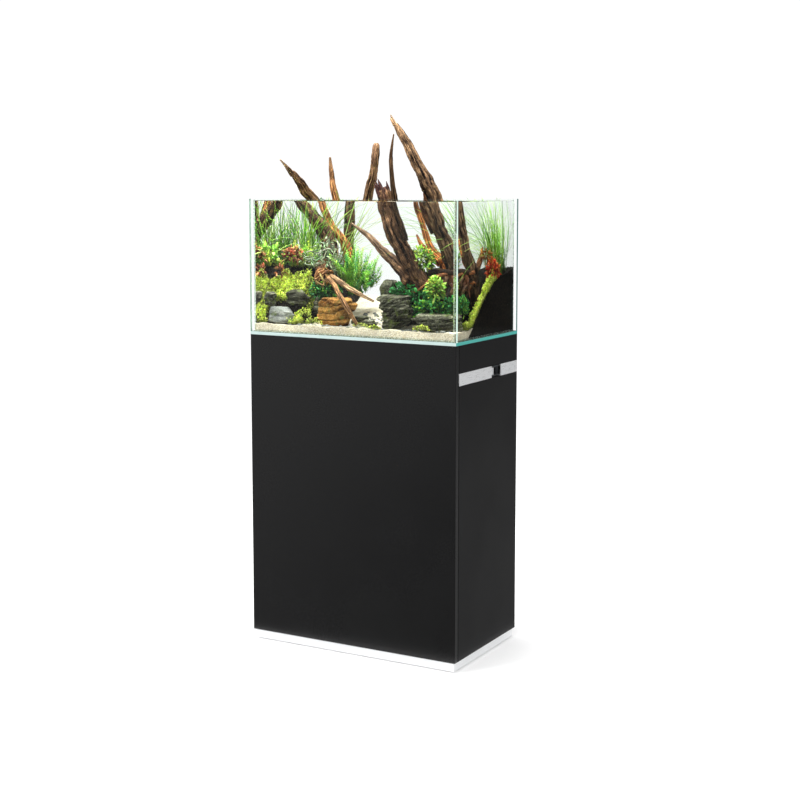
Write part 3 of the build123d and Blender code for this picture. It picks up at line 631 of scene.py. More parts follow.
def make_driftwood(material):
    leaning = Shell()
    limb(leaning, [(-286, -52, 1264), (-283, -24, 1245), (-280, 0, 1225)], [1.5, 4, 7], 20,
         GREY_WOOD, BROWN_WOOD)
    limb(leaning, [(-281, -8, 1232), (-279, 6, 1221), (-262, 62, 1163), (-222, 74, 1115), (-182, 78, 1068),
                   (-160, 60, 1020), (-150, 20, 975), (-130, -40, 950)],
         [4, 8.5, 13, 17, 19, 20, 21, 16], 21, BROWN_WOOD, DARK_WOOD)
    limb(leaning, [(-158, -6, 1000), (-145, -34, 978), (-132, -52, 966)], [12, 19, 14], 22,
         DARK_WOOD, (0.20, 0.11, 0.05), lump=0.26)
    root_knot(leaning, (-128, -62, 960), 24, 30, 25)
    limb(leaning, [(-122, -58, 962), (-84, -96, 948), (-28, -150, 903), (13, -158, 850)],
         [9, 6.5, 6.5, 4], 23, (0.30, 0.19, 0.10), (0.34, 0.22, 0.11))
    limb(leaning, [(-116, -54, 964), (-90, -60, 955), (-37, -66, 930), (28, -76, 905)], [8, 7, 5.5, 3], 24,
         (0.20, 0.12, 0.06), (0.60, 0.50, 0.34))
    place(leaning.build("wood_leaning_detail"), material, ["wood_leaning"])

    thin = Shell()
    limb(thin, [(-225, 100, 1272), (-221, 100, 1225), (-209, 102, 1163), (-178, 106, 1092),
                (-138, 112, 1040), (-118, 112, 955)],
         [3, 6.5, 8.5, 10, 12, 14], 31, (0.33, 0.24, 0.15), ORANGE_WOOD)
    place(thin.build("wood_thin_detail"), material, ["wood_thin"])

    standing = Shell()
    limb(standing, [(-108, 146, 1309), (-109, 147, 1296), (-116, 148, 1241), (-135, 148, 1163),
                    (-142, 148, 1040), (-140, 146, 955)],
         [5, 8.5, 10.5, 13, 14, 15], 41, (0.34, 0.23, 0.15), DARK_WOOD)
    place(standing.build("wood_upright_detail"), material, ["wood_upright"])

    forked = Shell()
    limb(forked, [(64, -115, 1186), (73, -115, 1163), (88, -110, 1099), (112, -100, 1048), (138, -88, 1004),
                  (162, -70, 950), (180, -52, 890)],
         [12, 15, 18, 20, 22, 22, 20], 51, (0.20, 0.130, 0.080), (0.060, 0.036, 0.020), ridge=0.20)
    limb(forked, [(61, -115, 1188), (69, -115, 1168), (77, -115, 1150)], [12, 16.5, 14], 55,
         (0.060, 0.032, 0.030), (0.11, 0.065, 0.045), ridge=0.24)
    splinters(forked, (61, -115, 1176), (-0.34, 0.0, 0.94), 7.0, 8, 60, 52, (0.070, 0.034, 0.034), (4.0, 7.5))
    limb(forked, [(101, -127, 1322), (96, -127, 1290), (93, -127, 1250), (104, -127, 1166),
                  (122, -118, 1100), (132, -108, 1060)],
         [1.5, 3, 4.5, 6, 7.5, 8], 53, BROWN_WOOD, DARK_WOOD)
    limb(forked, [(-52, -40, 1100), (5, -50, 1067), (44, -60, 1033), (94, -70, 999), (135, -80, 960)],
         [2, 7, 10, 14, 18], 54, (0.24, 0.20, 0.15), (0.13, 0.080, 0.045))
    place(forked.build("wood_forked_detail"), material, ["wood_forked"])

    main = Shell()
    limb(main, [(51, -55, 1373), (60, -55, 1356), (72, -55, 1336)], [1.5, 4, 6], 60,
         GREY_WOOD, PALE_WOOD)
    limb(main, [(66, -55, 1349), (80, -55, 1326), (102, -55, 1293), (130, -55, 1248), (155, -55, 1205),
                (178, -55, 1163), (204, -50, 1090), (232, -45, 1027), (246, -30, 970), (250, -10, 900)],
         [5, 9, 10.5, 12.5, 16, 18.5, 17, 18, 22, 22], 61, (0.40, 0.29, 0.18), (0.028, 0.018, 0.010),
         ridge=0.17, fade=0.42)
    limb(main, [(148, -57, 1182), (156, -57, 1160), (172, -55, 1120), (192, -52, 1080)],
         [3, 7, 9, 9], 66, RED_WOOD, DARK_WOOD)
    limb(main, [(109, 28, 1184), (107, 30, 1150), (128, 25, 1098), (153, 12, 1048), (200, -5, 1000),
                (240, -20, 970)],
         [2.5, 6, 7, 8.5, 11, 14], 62, DARK_WOOD, ORANGE_WOOD)
    limb(main, [(112, 22, 1072), (132, 10, 1046), (168, -6, 1022), (196, -20, 1004)],
         [2, 6, 9, 10], 67, RED_WOOD, ORANGE_WOOD)
    splinters(main, (58, -55, 1358), (-0.55, 0.0, 0.83), 2.2, 4, 12, 64, PALE_WOOD)
    rng = np.random.default_rng(70)
    for number in range(ROOTS):
        start = np.array([236, -42, 972]) + rng.normal(0, 1, 3) * [16, 9, 14]
        foot = np.array([rng.uniform(120, 278), rng.uniform(-92, -58), rng.uniform(900, 948)])
        middle = (start + foot) / 2 + rng.normal(0, 1, 3) * [9, 6, 8] + [0, -4, 3]
        near_foot = middle * 0.35 + foot * 0.65 + rng.normal(0, 7, 3)
        thick = rng.uniform(3.0, 8.5)
        tint = np.array([RED_WOOD, DARK_WOOD, (0.30, 0.13, 0.05), BROWN_WOOD][number % 4])
        limb(main, [start, middle, near_foot, foot], [thick, thick * 0.9, thick * 0.7, thick * 0.4],
             70 + number, tint * 0.8, tint * 0.5, lump=0.30, segments=18, step=0.004)
    limb(main, [(206, 66, 1040), (214, 50, 1018), (232, 20, 1000), (244, -10, 985)],
         [2, 7, 10, 12], 68, ORANGE_WOOD, DARK_WOOD)
    place(main.build("wood_main_detail"), material, ["wood_main"])


# ---- stones -----------------------------------------------------------------------------------
CHIPS = 260


def boulder(size, seed, cuts, detail):
    """A blocky ball cut by random planes."""
    work = bmesh.new()
    bmesh.ops.create_icosphere(work, subdivisions=detail, radius=1.0)
    verts = np.array([v.co[:] for v in work.verts])
    faces = [[v.index for v in face.verts] for face in work.faces]
    work.free()
    verts /= ((np.abs(verts) ** 6).sum(1) ** (1 / 6))[:, None]
    rng = np.random.default_rng(seed)
    for _ in range(cuts):
        normal = unit(rng.normal(0, 1, 3) * [1, 1, 0.7])
        over = np.maximum(verts @ normal - rng.uniform(0.78, 1.08), 0)
        verts = verts - over[:, None] * normal
    return verts * np.asarray(size) * MM / 2, faces


def pebble(shell, centre, size, seed, turn):
    """A small plain stone."""
    verts, faces = boulder(size, seed, 8, 2)
    cos, sin = math.cos(turn), math.sin(turn)
    verts[:, :2] = verts[:, :2] @ np.array([[cos, sin], [-sin, cos]])
    shell.add(verts + np.asarray(centre) * MM, faces, (1, 1, 1))


def layered_stone(shell, centre, size, seed, bed, slant, step, cuts, pale, detail=6):
    """A stone split into slanted beds of the given thickness, with painted shade in the gaps between beds and
    a top made paler with painted light.
    """
    verts, faces = boulder(size, seed, cuts, detail)
    level = (verts[:, 2] - slant * verts[:, 0]) / (bed * MM) + 0.55 * fbm(verts * 24, 3, seed + 2)
    number, part = np.floor(level), level - np.floor(level)
    out = unit(verts)
    where = np.stack([out[:, 0] * 1.7, out[:, 1] * 1.7, number * 3.7], -1)
    ledge = noise(where, seed + 3) + 0.5 * noise(where * [2.7, 2.7, 1.0], seed + 4)
    gap = np.clip(1 - np.minimum(part, 1 - part) / 0.16, 0, 1)
    reach = 1 + step * (ledge - 0.35 * gap)
    verts[:, :2] *= reach[:, None]
    rough = 0.05 * fbm(verts * 60, 3, seed + 5) + 0.025 * noise(verts * 210, seed + 6)
    verts += out * (rough * np.mean(size) * MM / 2)[:, None]
    low, high = verts.min(0), verts.max(0)
    verts = (verts - (low + high) / 2) / (high - low) * np.asarray(size) * MM
    # Painted light and shade in the tint: pale lightens the top of the stone; the upper part of each bed and
    # the beds that jut out are lighter, partly a tone per bed; the gaps get painted shade.
    painted_top_light = np.clip((2 * verts[:, 2] / (size[2] * MM) - 0.5) / 0.4, 0, 1) * pale
    contrast = min(1.0, 5 * step)
    tint = (0.85 + contrast * (0.75 * part - 0.4 + 0.5 * ledge) + painted_top_light) * (1 - 0.85 * contrast * gap)
    shell.add(verts + np.asarray(centre) * MM, faces, np.clip(tint, 0.06, 1.6)[:, None] * np.ones(3))


def make_stones(grey, dark, rust):
    sand = SAND_Z / MM
    shapes = [
        ("grey", grey, "grey", (-226, -132, 20), (88, 52, 50), 3, 12, 0.30, 0.05, 22, 0.2),
        ("orange", rust, "orange", (-62, -114, 35), (116, 54, 78), 5, 19, 0.10, 0.18, 5, 0.35),
        ("layered", dark, "dark", (106, -118, 41), (100, 66, 92), 8, 8, 0.42, 0.30, 12, 0.4),
        ("ledge", dark, "dark", (224, -126, 20), (126, 56, 50), 12, 9, 0.08, 0.20, 12, 2.2),
    ]
    for name, material, slot, (x, y, rise), *form in shapes:
        shell = Shell()
        layered_stone(shell, (x, y, sand + rise), *form)
        place(shell.build(f"stone_{name}_detail"), material, ["stone_" + name])


def make_small_stones(dark, grey):
    """Stones half buried in the banks, and the chips that lie on the sand."""
    rng = np.random.default_rng(77)
    banked = Shell()
    for centre, size, seed in (((-182, -106, 908), (70, 44, 44), 31), ((-268, -114, 903), (40, 32, 36), 32),
                               ((-128, -76, 888), (44, 28, 44), 33), ((58, -40, 922), (46, 40, 76), 34),
                               ((24, -104, 850), (42, 24, 20), 36), ((-16, -66, 851), (50, 26, 30), 37)):
        layered_stone(banked, centre, size, seed, 7, 0.2, 0.24, 10, 0.6, 4)
    place(banked.build("small_stones_detail"), dark, ["small_stones"])
    chips = Shell()
    for number in range(CHIPS):
        x, y = rng.uniform(-0.275, 0.275), rng.uniform(-0.160, -0.100)
        if number % 2 == 0:
            x, y = rng.uniform(-0.05, 0.05), rng.uniform(-0.155, 0.02)
        size = rng.uniform(2.5, 9.0) * (1.5 if number % 9 == 0 else 1.0)
        height = float(path_height(np.array(y))) / MM
        spread = rng.uniform(0.6, 1.2, 3) * size * [1.25, 1.0, 0.6]
        pebble(chips, (x / MM, y / MM, height + size * 0.15), spread, 100 + number, rng.uniform(0, 3))
    place(chips.build("sand_chips"), grey)


# ---- ground -----------------------------------------------------------------------------------
INSET = 0.0006              # from the ground's sides to the panes
BANK_FRONT = -0.095
MOUND_FRONT = -0.152
BANK_LINE = np.array([(BANK_FRONT, FLOOR), (-0.042, 0.869), (0.003, 0.915), (0.060, 0.952), (0.119, 0.974),
                      (PANE_REAR, 0.985)])
MOUND_LINE = np.array([(MOUND_FRONT, FLOOR), (-0.148, 0.842), (-0.112, 0.880), (-0.080, 0.916),
                       (-0.048, 0.950), (0.000, 0.974), (0.060, 0.984), (PANE_REAR, 0.992)])
MOUND_SIDE = (-0.140, -0.176)
PATH_LEFT = (-0.075, -0.140)
PATH_RIGHT = (0.045, 0.110)
PATH_WALL = 0.180           # height that the banks reach beside the path
PATH_RISE = 0.065


def bank_height(x, y, side):
    """Height of a soil bank: the profile from front to rear, falling towards the sand path."""
    profile = np.interp(y, BANK_LINE[:, 0], BANK_LINE[:, 1])
    foot, painted_top_light = PATH_LEFT if side < 0 else PATH_RIGHT
    share = np.clip((x - foot) / (painted_top_light - foot), 0, 1.0)
    height = FLOOR + np.minimum(profile - FLOOR, share * PATH_WALL)
    if side < 0:
        mound = np.interp(y, MOUND_LINE[:, 0], MOUND_LINE[:, 1]) - FLOOR
        share = np.clip((x - MOUND_SIDE[0]) / (MOUND_SIDE[1] - MOUND_SIDE[0]), 0, 1.0)
        height = np.maximum(height, FLOOR + mound * share)
    return height


def path_height(y):
    """Height of the sand: level along the front, rising to the rear between the banks."""
    return SAND_Z + np.clip((y - BANK_FRONT) / (PANE_REAR - BANK_FRONT), 0, 1) * PATH_RISE


def ground_at(x, y):
    """Height of the visible ground at a place."""
    right_bank = np.where(x > PATH_RIGHT[0], bank_height(x, y, 1), 0)
    bank = np.where(x < PATH_LEFT[0], bank_height(x, y, -1), right_bank)
    return np.maximum(bank, path_height(y))


def terrain(name, x_range, y_range, height, step):
    """A closed block whose top follows height(x, y)."""
    xs = np.arange(x_range[0], x_range[1] + step / 2, step)
    ys = np.arange(y_range[0], y_range[1] + step / 2, step)
    xs[-1], ys[-1] = x_range[1], y_range[1]
    grid_x, grid_y = np.meshgrid(xs, ys, indexing="ij")
    nx, ny = grid_x.shape
    top = np.stack([grid_x, grid_y, height(grid_x, grid_y)], -1).reshape(-1, 3)
    base = top.copy()
    base[:, 2] = FLOOR + INSET
    top[:, 2] = np.maximum(top[:, 2], base[:, 2] + 0.0002)
    count = len(top)
    row = (np.arange(nx - 1)[:, None] * ny + np.arange(ny - 1)[None, :]).ravel()
    upper = np.stack([row, row + ny, row + ny + 1, row + 1], 1)
    edge = [i * ny for i in range(nx)] + [(nx - 1) * ny + j for j in range(1, ny)]
    edge += [i * ny + ny - 1 for i in range(nx - 2, -1, -1)] + list(range(ny - 2, 0, -1))
    ring = np.array(edge)
    wall = np.stack([np.roll(ring, -1), ring, ring + count, np.roll(ring, -1) + count], 1)
    faces = np.vstack([upper, upper[:, ::-1] + count, wall])
    return build(name, np.vstack([top, base]), faces.tolist(), smooth=False)


# ---- screws -----------------------------------------------------------------------------------
HEAD_RADIUS = 0.0036
HEAD_HEIGHT = 0.0016
CUP_SCREW = (-262, 22.5)        # x, and the distance above and below the hinge's middle
ARM_SCREW = (-119, 17.0)        # y, and the same distance


def pan_head(shell, centre, out):
    """A domed screw head with a cross recess; out is the way it faces."""
    angle = np.linspace(0, 2 * math.pi, 48, endpoint=False)
    share = np.array([1.0, 1.0, 0.93, 0.80, 0.66, 0.55, 0.44, 0.33, 0.22, 0.12])
    x, y = share[:, None] * np.cos(angle), share[:, None] * np.sin(angle)
    rise = np.sqrt(np.clip(1.02 - share ** 2, 0, 1))[:, None] * np.ones_like(x)
    rise[0] = 0
    arm = np.clip((0.20 - np.minimum(np.abs(x), np.abs(y))) / 0.08, 0, 1)
    arm = arm * np.clip((0.62 - share[:, None]) / 0.08, 0, 1)
    local = np.stack([x * HEAD_RADIUS, y * HEAD_RADIUS, HEAD_HEIGHT * (rise - 0.62 * arm)], -1).reshape(-1, 3)
    local = np.vstack([local, (0, 0, 0), (0, 0, HEAD_HEIGHT * 0.38)])
    out = np.asarray(out, float)
    side = np.cross(out, [0.0, 0.0, 1.0])
    verts = np.asarray(centre) * MM + local @ np.stack([side, np.cross(out, side), out])
    count, rows = len(angle), len(share)
    faces = [(rows * count, (j + 1) % count, j) for j in range(count)]
    for low in range(0, (rows - 1) * count, count):
        high = low + count
        faces += [(low + j, low + (j + 1) % count, high + (j + 1) % count, high + j) for j in range(count)]
    last = (rows - 1) * count
    faces += [(last + j, last + (j + 1) % count, rows * count + 1) for j in range(count)]
    shell.add(verts, faces, (1, 1, 1))


def make_hinge_screws(material):
    """Two screws in each cup flange, and two in each arm plate."""
    door_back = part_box("door")[1].y / MM
    for name in ("lower", "upper"):
        low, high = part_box("hinge_arm_" + name)
        middle = (low.z + high.z) / 2 / MM
        cup, arm = Shell(), Shell()
        for side in (-1, 1):
            pan_head(cup, (CUP_SCREW[0], door_back - 0.3, middle + side * CUP_SCREW[1]), (0, 1, 0))
            pan_head(arm, (low.x / MM + 2.3, ARM_SCREW[0], middle + side * ARM_SCREW[1]), (1, 0, 0))
        place(cup.build("cup_screws_" + name), material, body="door")
        place(arm.build("arm_screws_" + name), material)


def make_ground(sand_material, soil_material):
    """The sand with its path, and the two banks of soil."""
    def sand_top(x, y):
        lumps = 0.0022 * fbm(np.stack([x * 26, y * 26, x * 0], -1), 3, 5)
        grit = 0.0006 * noise(np.stack([x * 600, y * 600, x * 0], -1), 6)
        return path_height(y) + lumps + grit

    sand = terrain("sand_detail", (PANE_LEFT + INSET, PANE_RIGHT - INSET),
                   (PANE_FRONT + INSET, PANE_REAR - INSET), sand_top, 0.004)
    place(sand, sand_material, ["sand"])
    left_bank = ("soil_left", -1, (PANE_LEFT + INSET / 2, PATH_LEFT[0]), MOUND_FRONT)
    right_bank = ("soil_right", 1, (PATH_RIGHT[0], PANE_RIGHT - INSET / 2), BANK_FRONT)
    for name, side, x_range, front in (left_bank, right_bank):
        def soil_top(x, y, side=side):
            lumps = 0.004 * fbm(np.stack([x * 22, y * 22, x * 0 + side], -1), 3, 9)
            grit = 0.0014 * noise(np.stack([x * 420, y * 420, x * 0], -1), 10)
            height = bank_height(x, y, side)
            return height + np.where(height > FLOOR + 0.002, lumps + grit, 0)

        soil = terrain(name + "_detail", x_range, (front, PANE_REAR - INSET / 2), soil_top, 0.003)
        place(soil, soil_material, [name])


# ---- plants -----------------------------------------------------------------------------------
LIME = [(0.78, 0.88, 0.12), (0.58, 0.76, 0.08), (0.88, 0.92, 0.26), (0.42, 0.60, 0.06)]
BRIGHT = [(0.26, 0.62, 0.06), (0.42, 0.76, 0.10), (0.16, 0.46, 0.05), (0.60, 0.88, 0.20)]
DEEP = [(0.02, 0.17, 0.03), (0.04, 0.27, 0.06), (0.08, 0.38, 0.10)]
BLADE = [(0.12, 0.36, 0.03), (0.24, 0.50, 0.05), (0.40, 0.62, 0.12), (0.05, 0.20, 0.02)]
# The palest of these greys stands for leaves that catch the light: a painted highlight.
GREYISH = [(0.16, 0.24, 0.12), (0.26, 0.34, 0.22), (0.10, 0.17, 0.07), (0.46, 0.52, 0.38)]
RUST = [(0.62, 0.16, 0.07), (0.42, 0.10, 0.05), (0.72, 0.30, 0.15), (0.45, 0.22, 0.08)]
RED = [(0.85, 0.10, 0.03), (0.70, 0.05, 0.03), (0.90, 0.30, 0.08)]
AMBER = [(0.62, 0.24, 0.04), (0.48, 0.16, 0.03)]
PALE_BLADE = [(0.40, 0.58, 0.14), (0.62, 0.80, 0.28)]
BLADES = 11                 # in each tuft of grass
BLADE_WIDTH = 0.0014        # half width
TRAIL_WIDTH = 0.0011
PROBE = 0.002               # reach of the steps that measure the ground's slope


def scatter_leaves(shell, rng, places, outward, length, colours, wide, droop, shade=1.0):
    """Small leaves that point more or less outward from their places; shade darkens some of them."""
    count = len(places)
    heading = unit(outward + rng.normal(0, 0.55, (count, 3)))
    size = length * rng.uniform(0.65, 1.25, count)
    lines = arcs(places, heading, size, rng.uniform(0, droop * 2, count), len(LEAF))
    widths = np.asarray(LEAF)[None] * size[:, None] * wide / 2
    side = unit(np.cross(heading, unit(rng.normal(0, 1, (count, 3)))))
    tints = mixed(rng, colours, count) * np.broadcast_to(shade, count)[:, None]
    ribbons(shell, lines, widths, length * 0.03, tints, (0.7, 1.2), side)


def carpet(seed, x_range, y_range, count, depth, length, edge=None):
    """A lumpy carpet of tiny leaves over the soil; the lower layers get painted shade, and the leaves on the
    lumps get painted light.
    """
    rng = np.random.default_rng(seed)
    shell = Shell()
    for layer, shade in ((0.25, 0.35), (0.6, 0.7), (1.0, 1.0)):
        x = rng.uniform(*x_range, count)
        y = rng.uniform(*y_range, count)
        if edge is not None:
            keep = edge(x, y)
            x, y = x[keep], y[keep]
        where = np.stack([x, y, x * 0 + seed * 0.001], -1)
        lump = 0.5 + 0.38 * noise(where * 55, seed) + 0.25 * noise(where * 170, seed + 1)
        z = ground_at(x, y) + depth * layer * np.clip(lump, 0.1, 1.2) + rng.normal(0, 0.0012, len(x))
        slope_x = (ground_at(x + PROBE, y) - ground_at(x - PROBE, y)) / (2 * PROBE)
        slope_y = (ground_at(x, y + PROBE) - ground_at(x, y - PROBE)) / (2 * PROBE)
        outward = unit(np.stack([-slope_x, -slope_y, np.ones(len(x))], -1))
        colours = np.asarray(LIME) * shade
        places = np.stack([x, y, z], -1)
        lit = np.clip(0.62 + 0.85 * lump, 0.45, 1.5)
        scatter_leaves(shell, rng, places, outward, length, colours, 0.75, 0.1, lit)
    return shell


def bush(shell, seed, centre, radii, count, length, colours, wide, base=-0.75):
    """A rounded bush: leaves over several nested shells, with painted shade inside and painted light on its
    top and lumps.
    """
    rng = np.random.default_rng(seed)
    for layer, shade in ((0.55, 0.35), (0.8, 0.65), (1.0, 1.0)):
        out = unit(rng.normal(0, 1, (count, 3)))
        out = out[out[:, 2] > base]
        lump = noise(out * 2.9 + seed, seed)
        places = np.asarray(centre) * MM + out * np.asarray(radii) * MM * layer * (1 + 0.20 * lump)[:, None]
        lit = np.clip(0.75 + 0.8 * lump + 0.3 * out[:, 2], 0.2, 1.35)
        darker = np.asarray(colours) * shade
        scatter_leaves(shell, rng, places, out + [0, 0, 0.5], length, darker, wide, 0.25, lit)


def feathery(shell, seed, base, reach, spread, stems, colours, leaflet):
    """Stems that fan out from a base, each with pairs of narrow leaflets."""
    rng = np.random.default_rng(seed)
    for _ in range(stems):
        heading = unit(np.array([rng.normal(0, spread), rng.normal(0, spread * 0.8), 1.0]))
        start = np.asarray(base) * MM + rng.normal(0, 0.010, 3) * [1.6, 1.2, 0.3]
        length = reach * MM * rng.uniform(0.55, 1.1)
        stem = arcs(start[None], heading[None], [length], [rng.uniform(-0.1, 0.25)], 9)
        tint = mixed(rng, colours, 1)
        ribbons(shell, stem, [0] + [0.0006] * 7 + [0], 0.0006, tint * 0.7)
        count = int(length / 0.0042)
        t = np.repeat(np.linspace(0.12, 1.0, count), 2)
        fall = stem[0, -1] - start - heading * length
        places = start + heading * (length * t)[:, None] + fall * (t ** 2)[:, None]
        flat = unit(np.cross(heading, unit(rng.normal(0, 1, 3))))
        turn = np.cross(heading, flat)
        angle = np.arange(count * 2) * 2.4
        out = flat * np.cos(angle)[:, None] + turn * np.sin(angle)[:, None] + heading * 0.75
        size = leaflet * (1.05 - 0.55 * t)
        lines = arcs(places, unit(out), size, np.full(len(t), 0.1), 5)
        widths = np.asarray(LEAF)[None] * size[:, None] * 0.24
        tints = tint * (0.35 + 0.9 * t)[:, None] * rng.uniform(0.75, 1.3, (len(t), 1))
        ribbons(shell, lines, widths, 0.0003, tints, (0.8, 1.2))


def grass(shell, seed, x_range, y_range, top, tufts, lean, colours=BLADE):
    """Tufts of long blades that fan upward and bend over; the longest lie along the surface."""
    rng = np.random.default_rng(seed)
    count = tufts * BLADES
    x = np.repeat(rng.uniform(*x_range, tufts), BLADES) + rng.normal(0, 0.0025, count)
    y = np.repeat(rng.uniform(*y_range, tufts), BLADES) + rng.normal(0, 0.0025, count)
    base = np.stack([x, y, ground_at(x, y) - 0.004], -1)
    stations = 14
    t = np.linspace(0, 1, stations)[None]
    sway = rng.normal(0, 0.26, (count, 2)) + lean
    length = (top - base[:, 2]) * rng.uniform(0.40, 1.12, count)
    bend = sway * rng.uniform(0.3, 1.5, (count, 1)) + rng.normal(0, 0.10, (count, 2))
    line = np.empty((count, stations, 3))
    for axis in (0, 1):
        across = sway[:, axis, None] * t + bend[:, axis, None] * t ** 2.6
        line[..., axis] = base[:, axis, None] + across * length[:, None]
    sag = (bend ** 2).sum(1)[:, None] * 0.9
    line[..., 2] = base[:, 2:] + length[:, None] * (t - sag * t ** 3)
    line[..., 2] = np.minimum(line[..., 2], top + 0.0015 * np.sin(t * 9))
    line[..., 0] = np.clip(line[..., 0], PANE_LEFT + 0.002, PANE_RIGHT - 0.002)
    line[..., 1] = np.clip(line[..., 1], PANE_FRONT + 0.002, PANE_REAR - 0.002)
    taper = np.sin(np.clip(t * 0.94 + 0.06, 0, 1) * math.pi) ** 0.5
    width = taper * BLADE_WIDTH * rng.uniform(0.6, 1.2, (count, 1))
    width[:, 0] = width[:, -1] = 0
    ribbons(shell, line, width, BLADE_WIDTH * 0.22, mixed(rng, colours, count), (0.35, 1.45))


def trailing(shell, curves, tint):
    """Single long blades drawn through a few points."""
    for points in curves:
        line = smooth_line(np.asarray(points, float) * MM, 0.008)
        t = np.linspace(0, 1, len(line))
        width = TRAIL_WIDTH * np.sin(np.clip(t * 0.9 + 0.1, 0, 1) * math.pi) ** 0.5
        width[0] = width[-1] = 0
        ribbons(shell, line[None], width, TRAIL_WIDTH * 0.25, tint, (0.8, 1.2))


def bend_along_glass(verts):
    """Leaves that would pass through a pane are bent along its inner face, without being flattened."""
    for axis, low, high in ((0, PANE_LEFT, PANE_RIGHT), (1, PANE_FRONT, PANE_REAR)):
        over = np.clip(verts[:, axis] - (high - CLEAR - BEND), 0, None)
        under = np.clip(low + CLEAR + BEND - verts[:, axis], 0, None)
        verts[:, axis] += over / (1 + over / BEND) - over - (under / (1 + under / BEND) - under)


def make_plants():
    leaves = leaf_material("leaves", 0.5, 900.0)
    blades = leaf_material("grass_blades", 0.42, 500.0)

    def finish(shell, name, replaces=None, material=leaves):
        for verts in shell.verts:
            bend_along_glass(verts)
        place(shell.build(name), material, replaces)

    def off_stones(x, y):
        grey_stone = ((x + 0.226) / 0.046) ** 2 + ((y + 0.132) / 0.032) ** 2 > 1
        dark_stone = ((x + 0.182) / 0.034) ** 2 + ((y + 0.112) / 0.022) ** 2 > 1
        rear_limit = -0.034 - 0.75 * np.clip(-0.252 - x, 0, None)
        return grey_stone & dark_stone & (y < rear_limit)

    left_carpet = carpet(201, (-0.291, -0.158), (-0.157, -0.030), 4300, 0.026, 0.0046, off_stones)
    finish(left_carpet, "carpet_left", ["carpet_plants"])
    finish(carpet(202, (0.262, 0.291), (-0.098, 0.068), 1500, 0.030, 0.0055), "carpet_right")

    centre = Shell()
    for seed, base, reach, stems in ((211, (-56, 4, 925), 116, 30), (212, (-36, 6, 932), 88, 24),
                                     (213, (-80, 0, 940), 100, 20), (214, (-50, -20, 915), 64, 20)):
        feathery(centre, seed, base, reach, 0.36, stems, BRIGHT + DEEP[2:], 0.0125)
    finish(centre, "bush_centre_leaves", ["bush_centre"])

    middle = Shell()
    feathery(middle, 221, (-252, 14, 980), 70, 0.42, 22, LIME[:2] + BRIGHT[:2], 0.012)
    feathery(middle, 222, (-206, 10, 980), 72, 0.42, 26, LIME[:2] + BRIGHT[1:], 0.012)
    finish(middle, "stem_plants_left")

    right = Shell()
    bush(right, 231, (158, -60, 1010), (32, 26, 29), 260, 0.0125, BRIGHT + LIME[:1], 0.45)
    bush(right, 232, (217, -108, 944), (20, 15, 26), 150, 0.0125, BRIGHT + LIME[:1], 0.45)
    bush(right, 233, (262, -96, 900), (24, 20, 24), 200, 0.008, DEEP + BRIGHT[:1], 0.5)
    finish(right, "bush_right_leaves", ["bush_right"])

    low = Shell()
    bush(low, 241, (122, -70, 922), (40, 24, 26), 190, 0.016, DEEP, 0.62)
    bush(low, 242, (158, -88, 912), (36, 20, 24), 150, 0.015, DEEP, 0.62)
    bush(low, 243, (200, -100, 892), (46, 18, 18), 190, 0.013, DEEP + BRIGHT[:1], 0.62)
    bush(low, 244, (-118, -66, 925), (44, 24, 24), 220, 0.012, DEEP + BRIGHT[:1], 0.45)
    finish(low, "low_leaves")

    red = Shell()
    bush(red, 251, (-234, -36, 1014), (24, 16, 17), 60, 0.015, RUST, 0.42)
    bush(red, 252, (-262, -64, 972), (10, 12, 10), 14, 0.014, RUST, 0.42)
    bush(red, 253, (268, 66, 982), (20, 24, 20), 150, 0.014, RED, 0.42)
    bush(red, 254, (250, 44, 1018), (20, 18, 14), 40, 0.014, AMBER, 0.4)
    finish(red, "red_plants")

    narrow = Shell()
    rng = np.random.default_rng(261)
    spots = [(-192, -30, 1004), (-176, -14, 1020), (-160, 0, 1036), (-150, 8, 1050), (-132, -6, 1030),
             (-110, -6, 1010), (-104, -24, 985), (-168, -40, 990), (-120, -38, 996), (-146, -30, 1010)]
    for spot in spots:
        places = np.asarray(spot) * MM + rng.normal(0, 0.006, (17, 3))
        outward = unit(rng.normal(0, 1, (17, 3)) + [0, -0.5, 0.5])
        scatter_leaves(narrow, rng, places, outward, 0.026, GREYISH, 0.17, 0.3)
    finish(narrow, "narrow_leaves")

    broad = Shell()
    places = np.asarray([(-276, -66, 1022)] * 7) * MM
    heading = unit(np.array([(0.5, -0.5, 0.5), (-0.3, -0.6, 0.6), (0.1, 0.3, 0.9), (0.8, 0.1, 0.4),
                             (-0.4, 0.5, 0.7), (0.3, -0.8, 0.1), (-0.6, -0.1, 0.6)]))
    lines = arcs(places, heading, np.full(7, 0.042), np.full(7, 0.3), 9)
    outline = np.array([0, 0.08, 0.5, 0.85, 1.0, 0.95, 0.72, 0.35, 0]) * 0.0065
    ribbons(broad, lines, outline, 0.0004, mixed(rng, BRIGHT, 7), (0.8, 1.1))
    finish(broad, "broad_leaves")

    moss = Shell()
    for seed, spot, size in ((271, (20, -152, 846), (18, 8, 8)), (272, (62, -156, 843), (16, 7, 6)),
                             (273, (196, -158, 846), (22, 6, 9)), (274, (-116, -154, 848), (22, 8, 12)),
                             (275, (-150, -140, 866), (18, 10, 16))):
        bush(moss, seed, spot, size, 130, 0.0045, LIME, 0.6, -0.2)
    finish(moss, "moss_tufts")

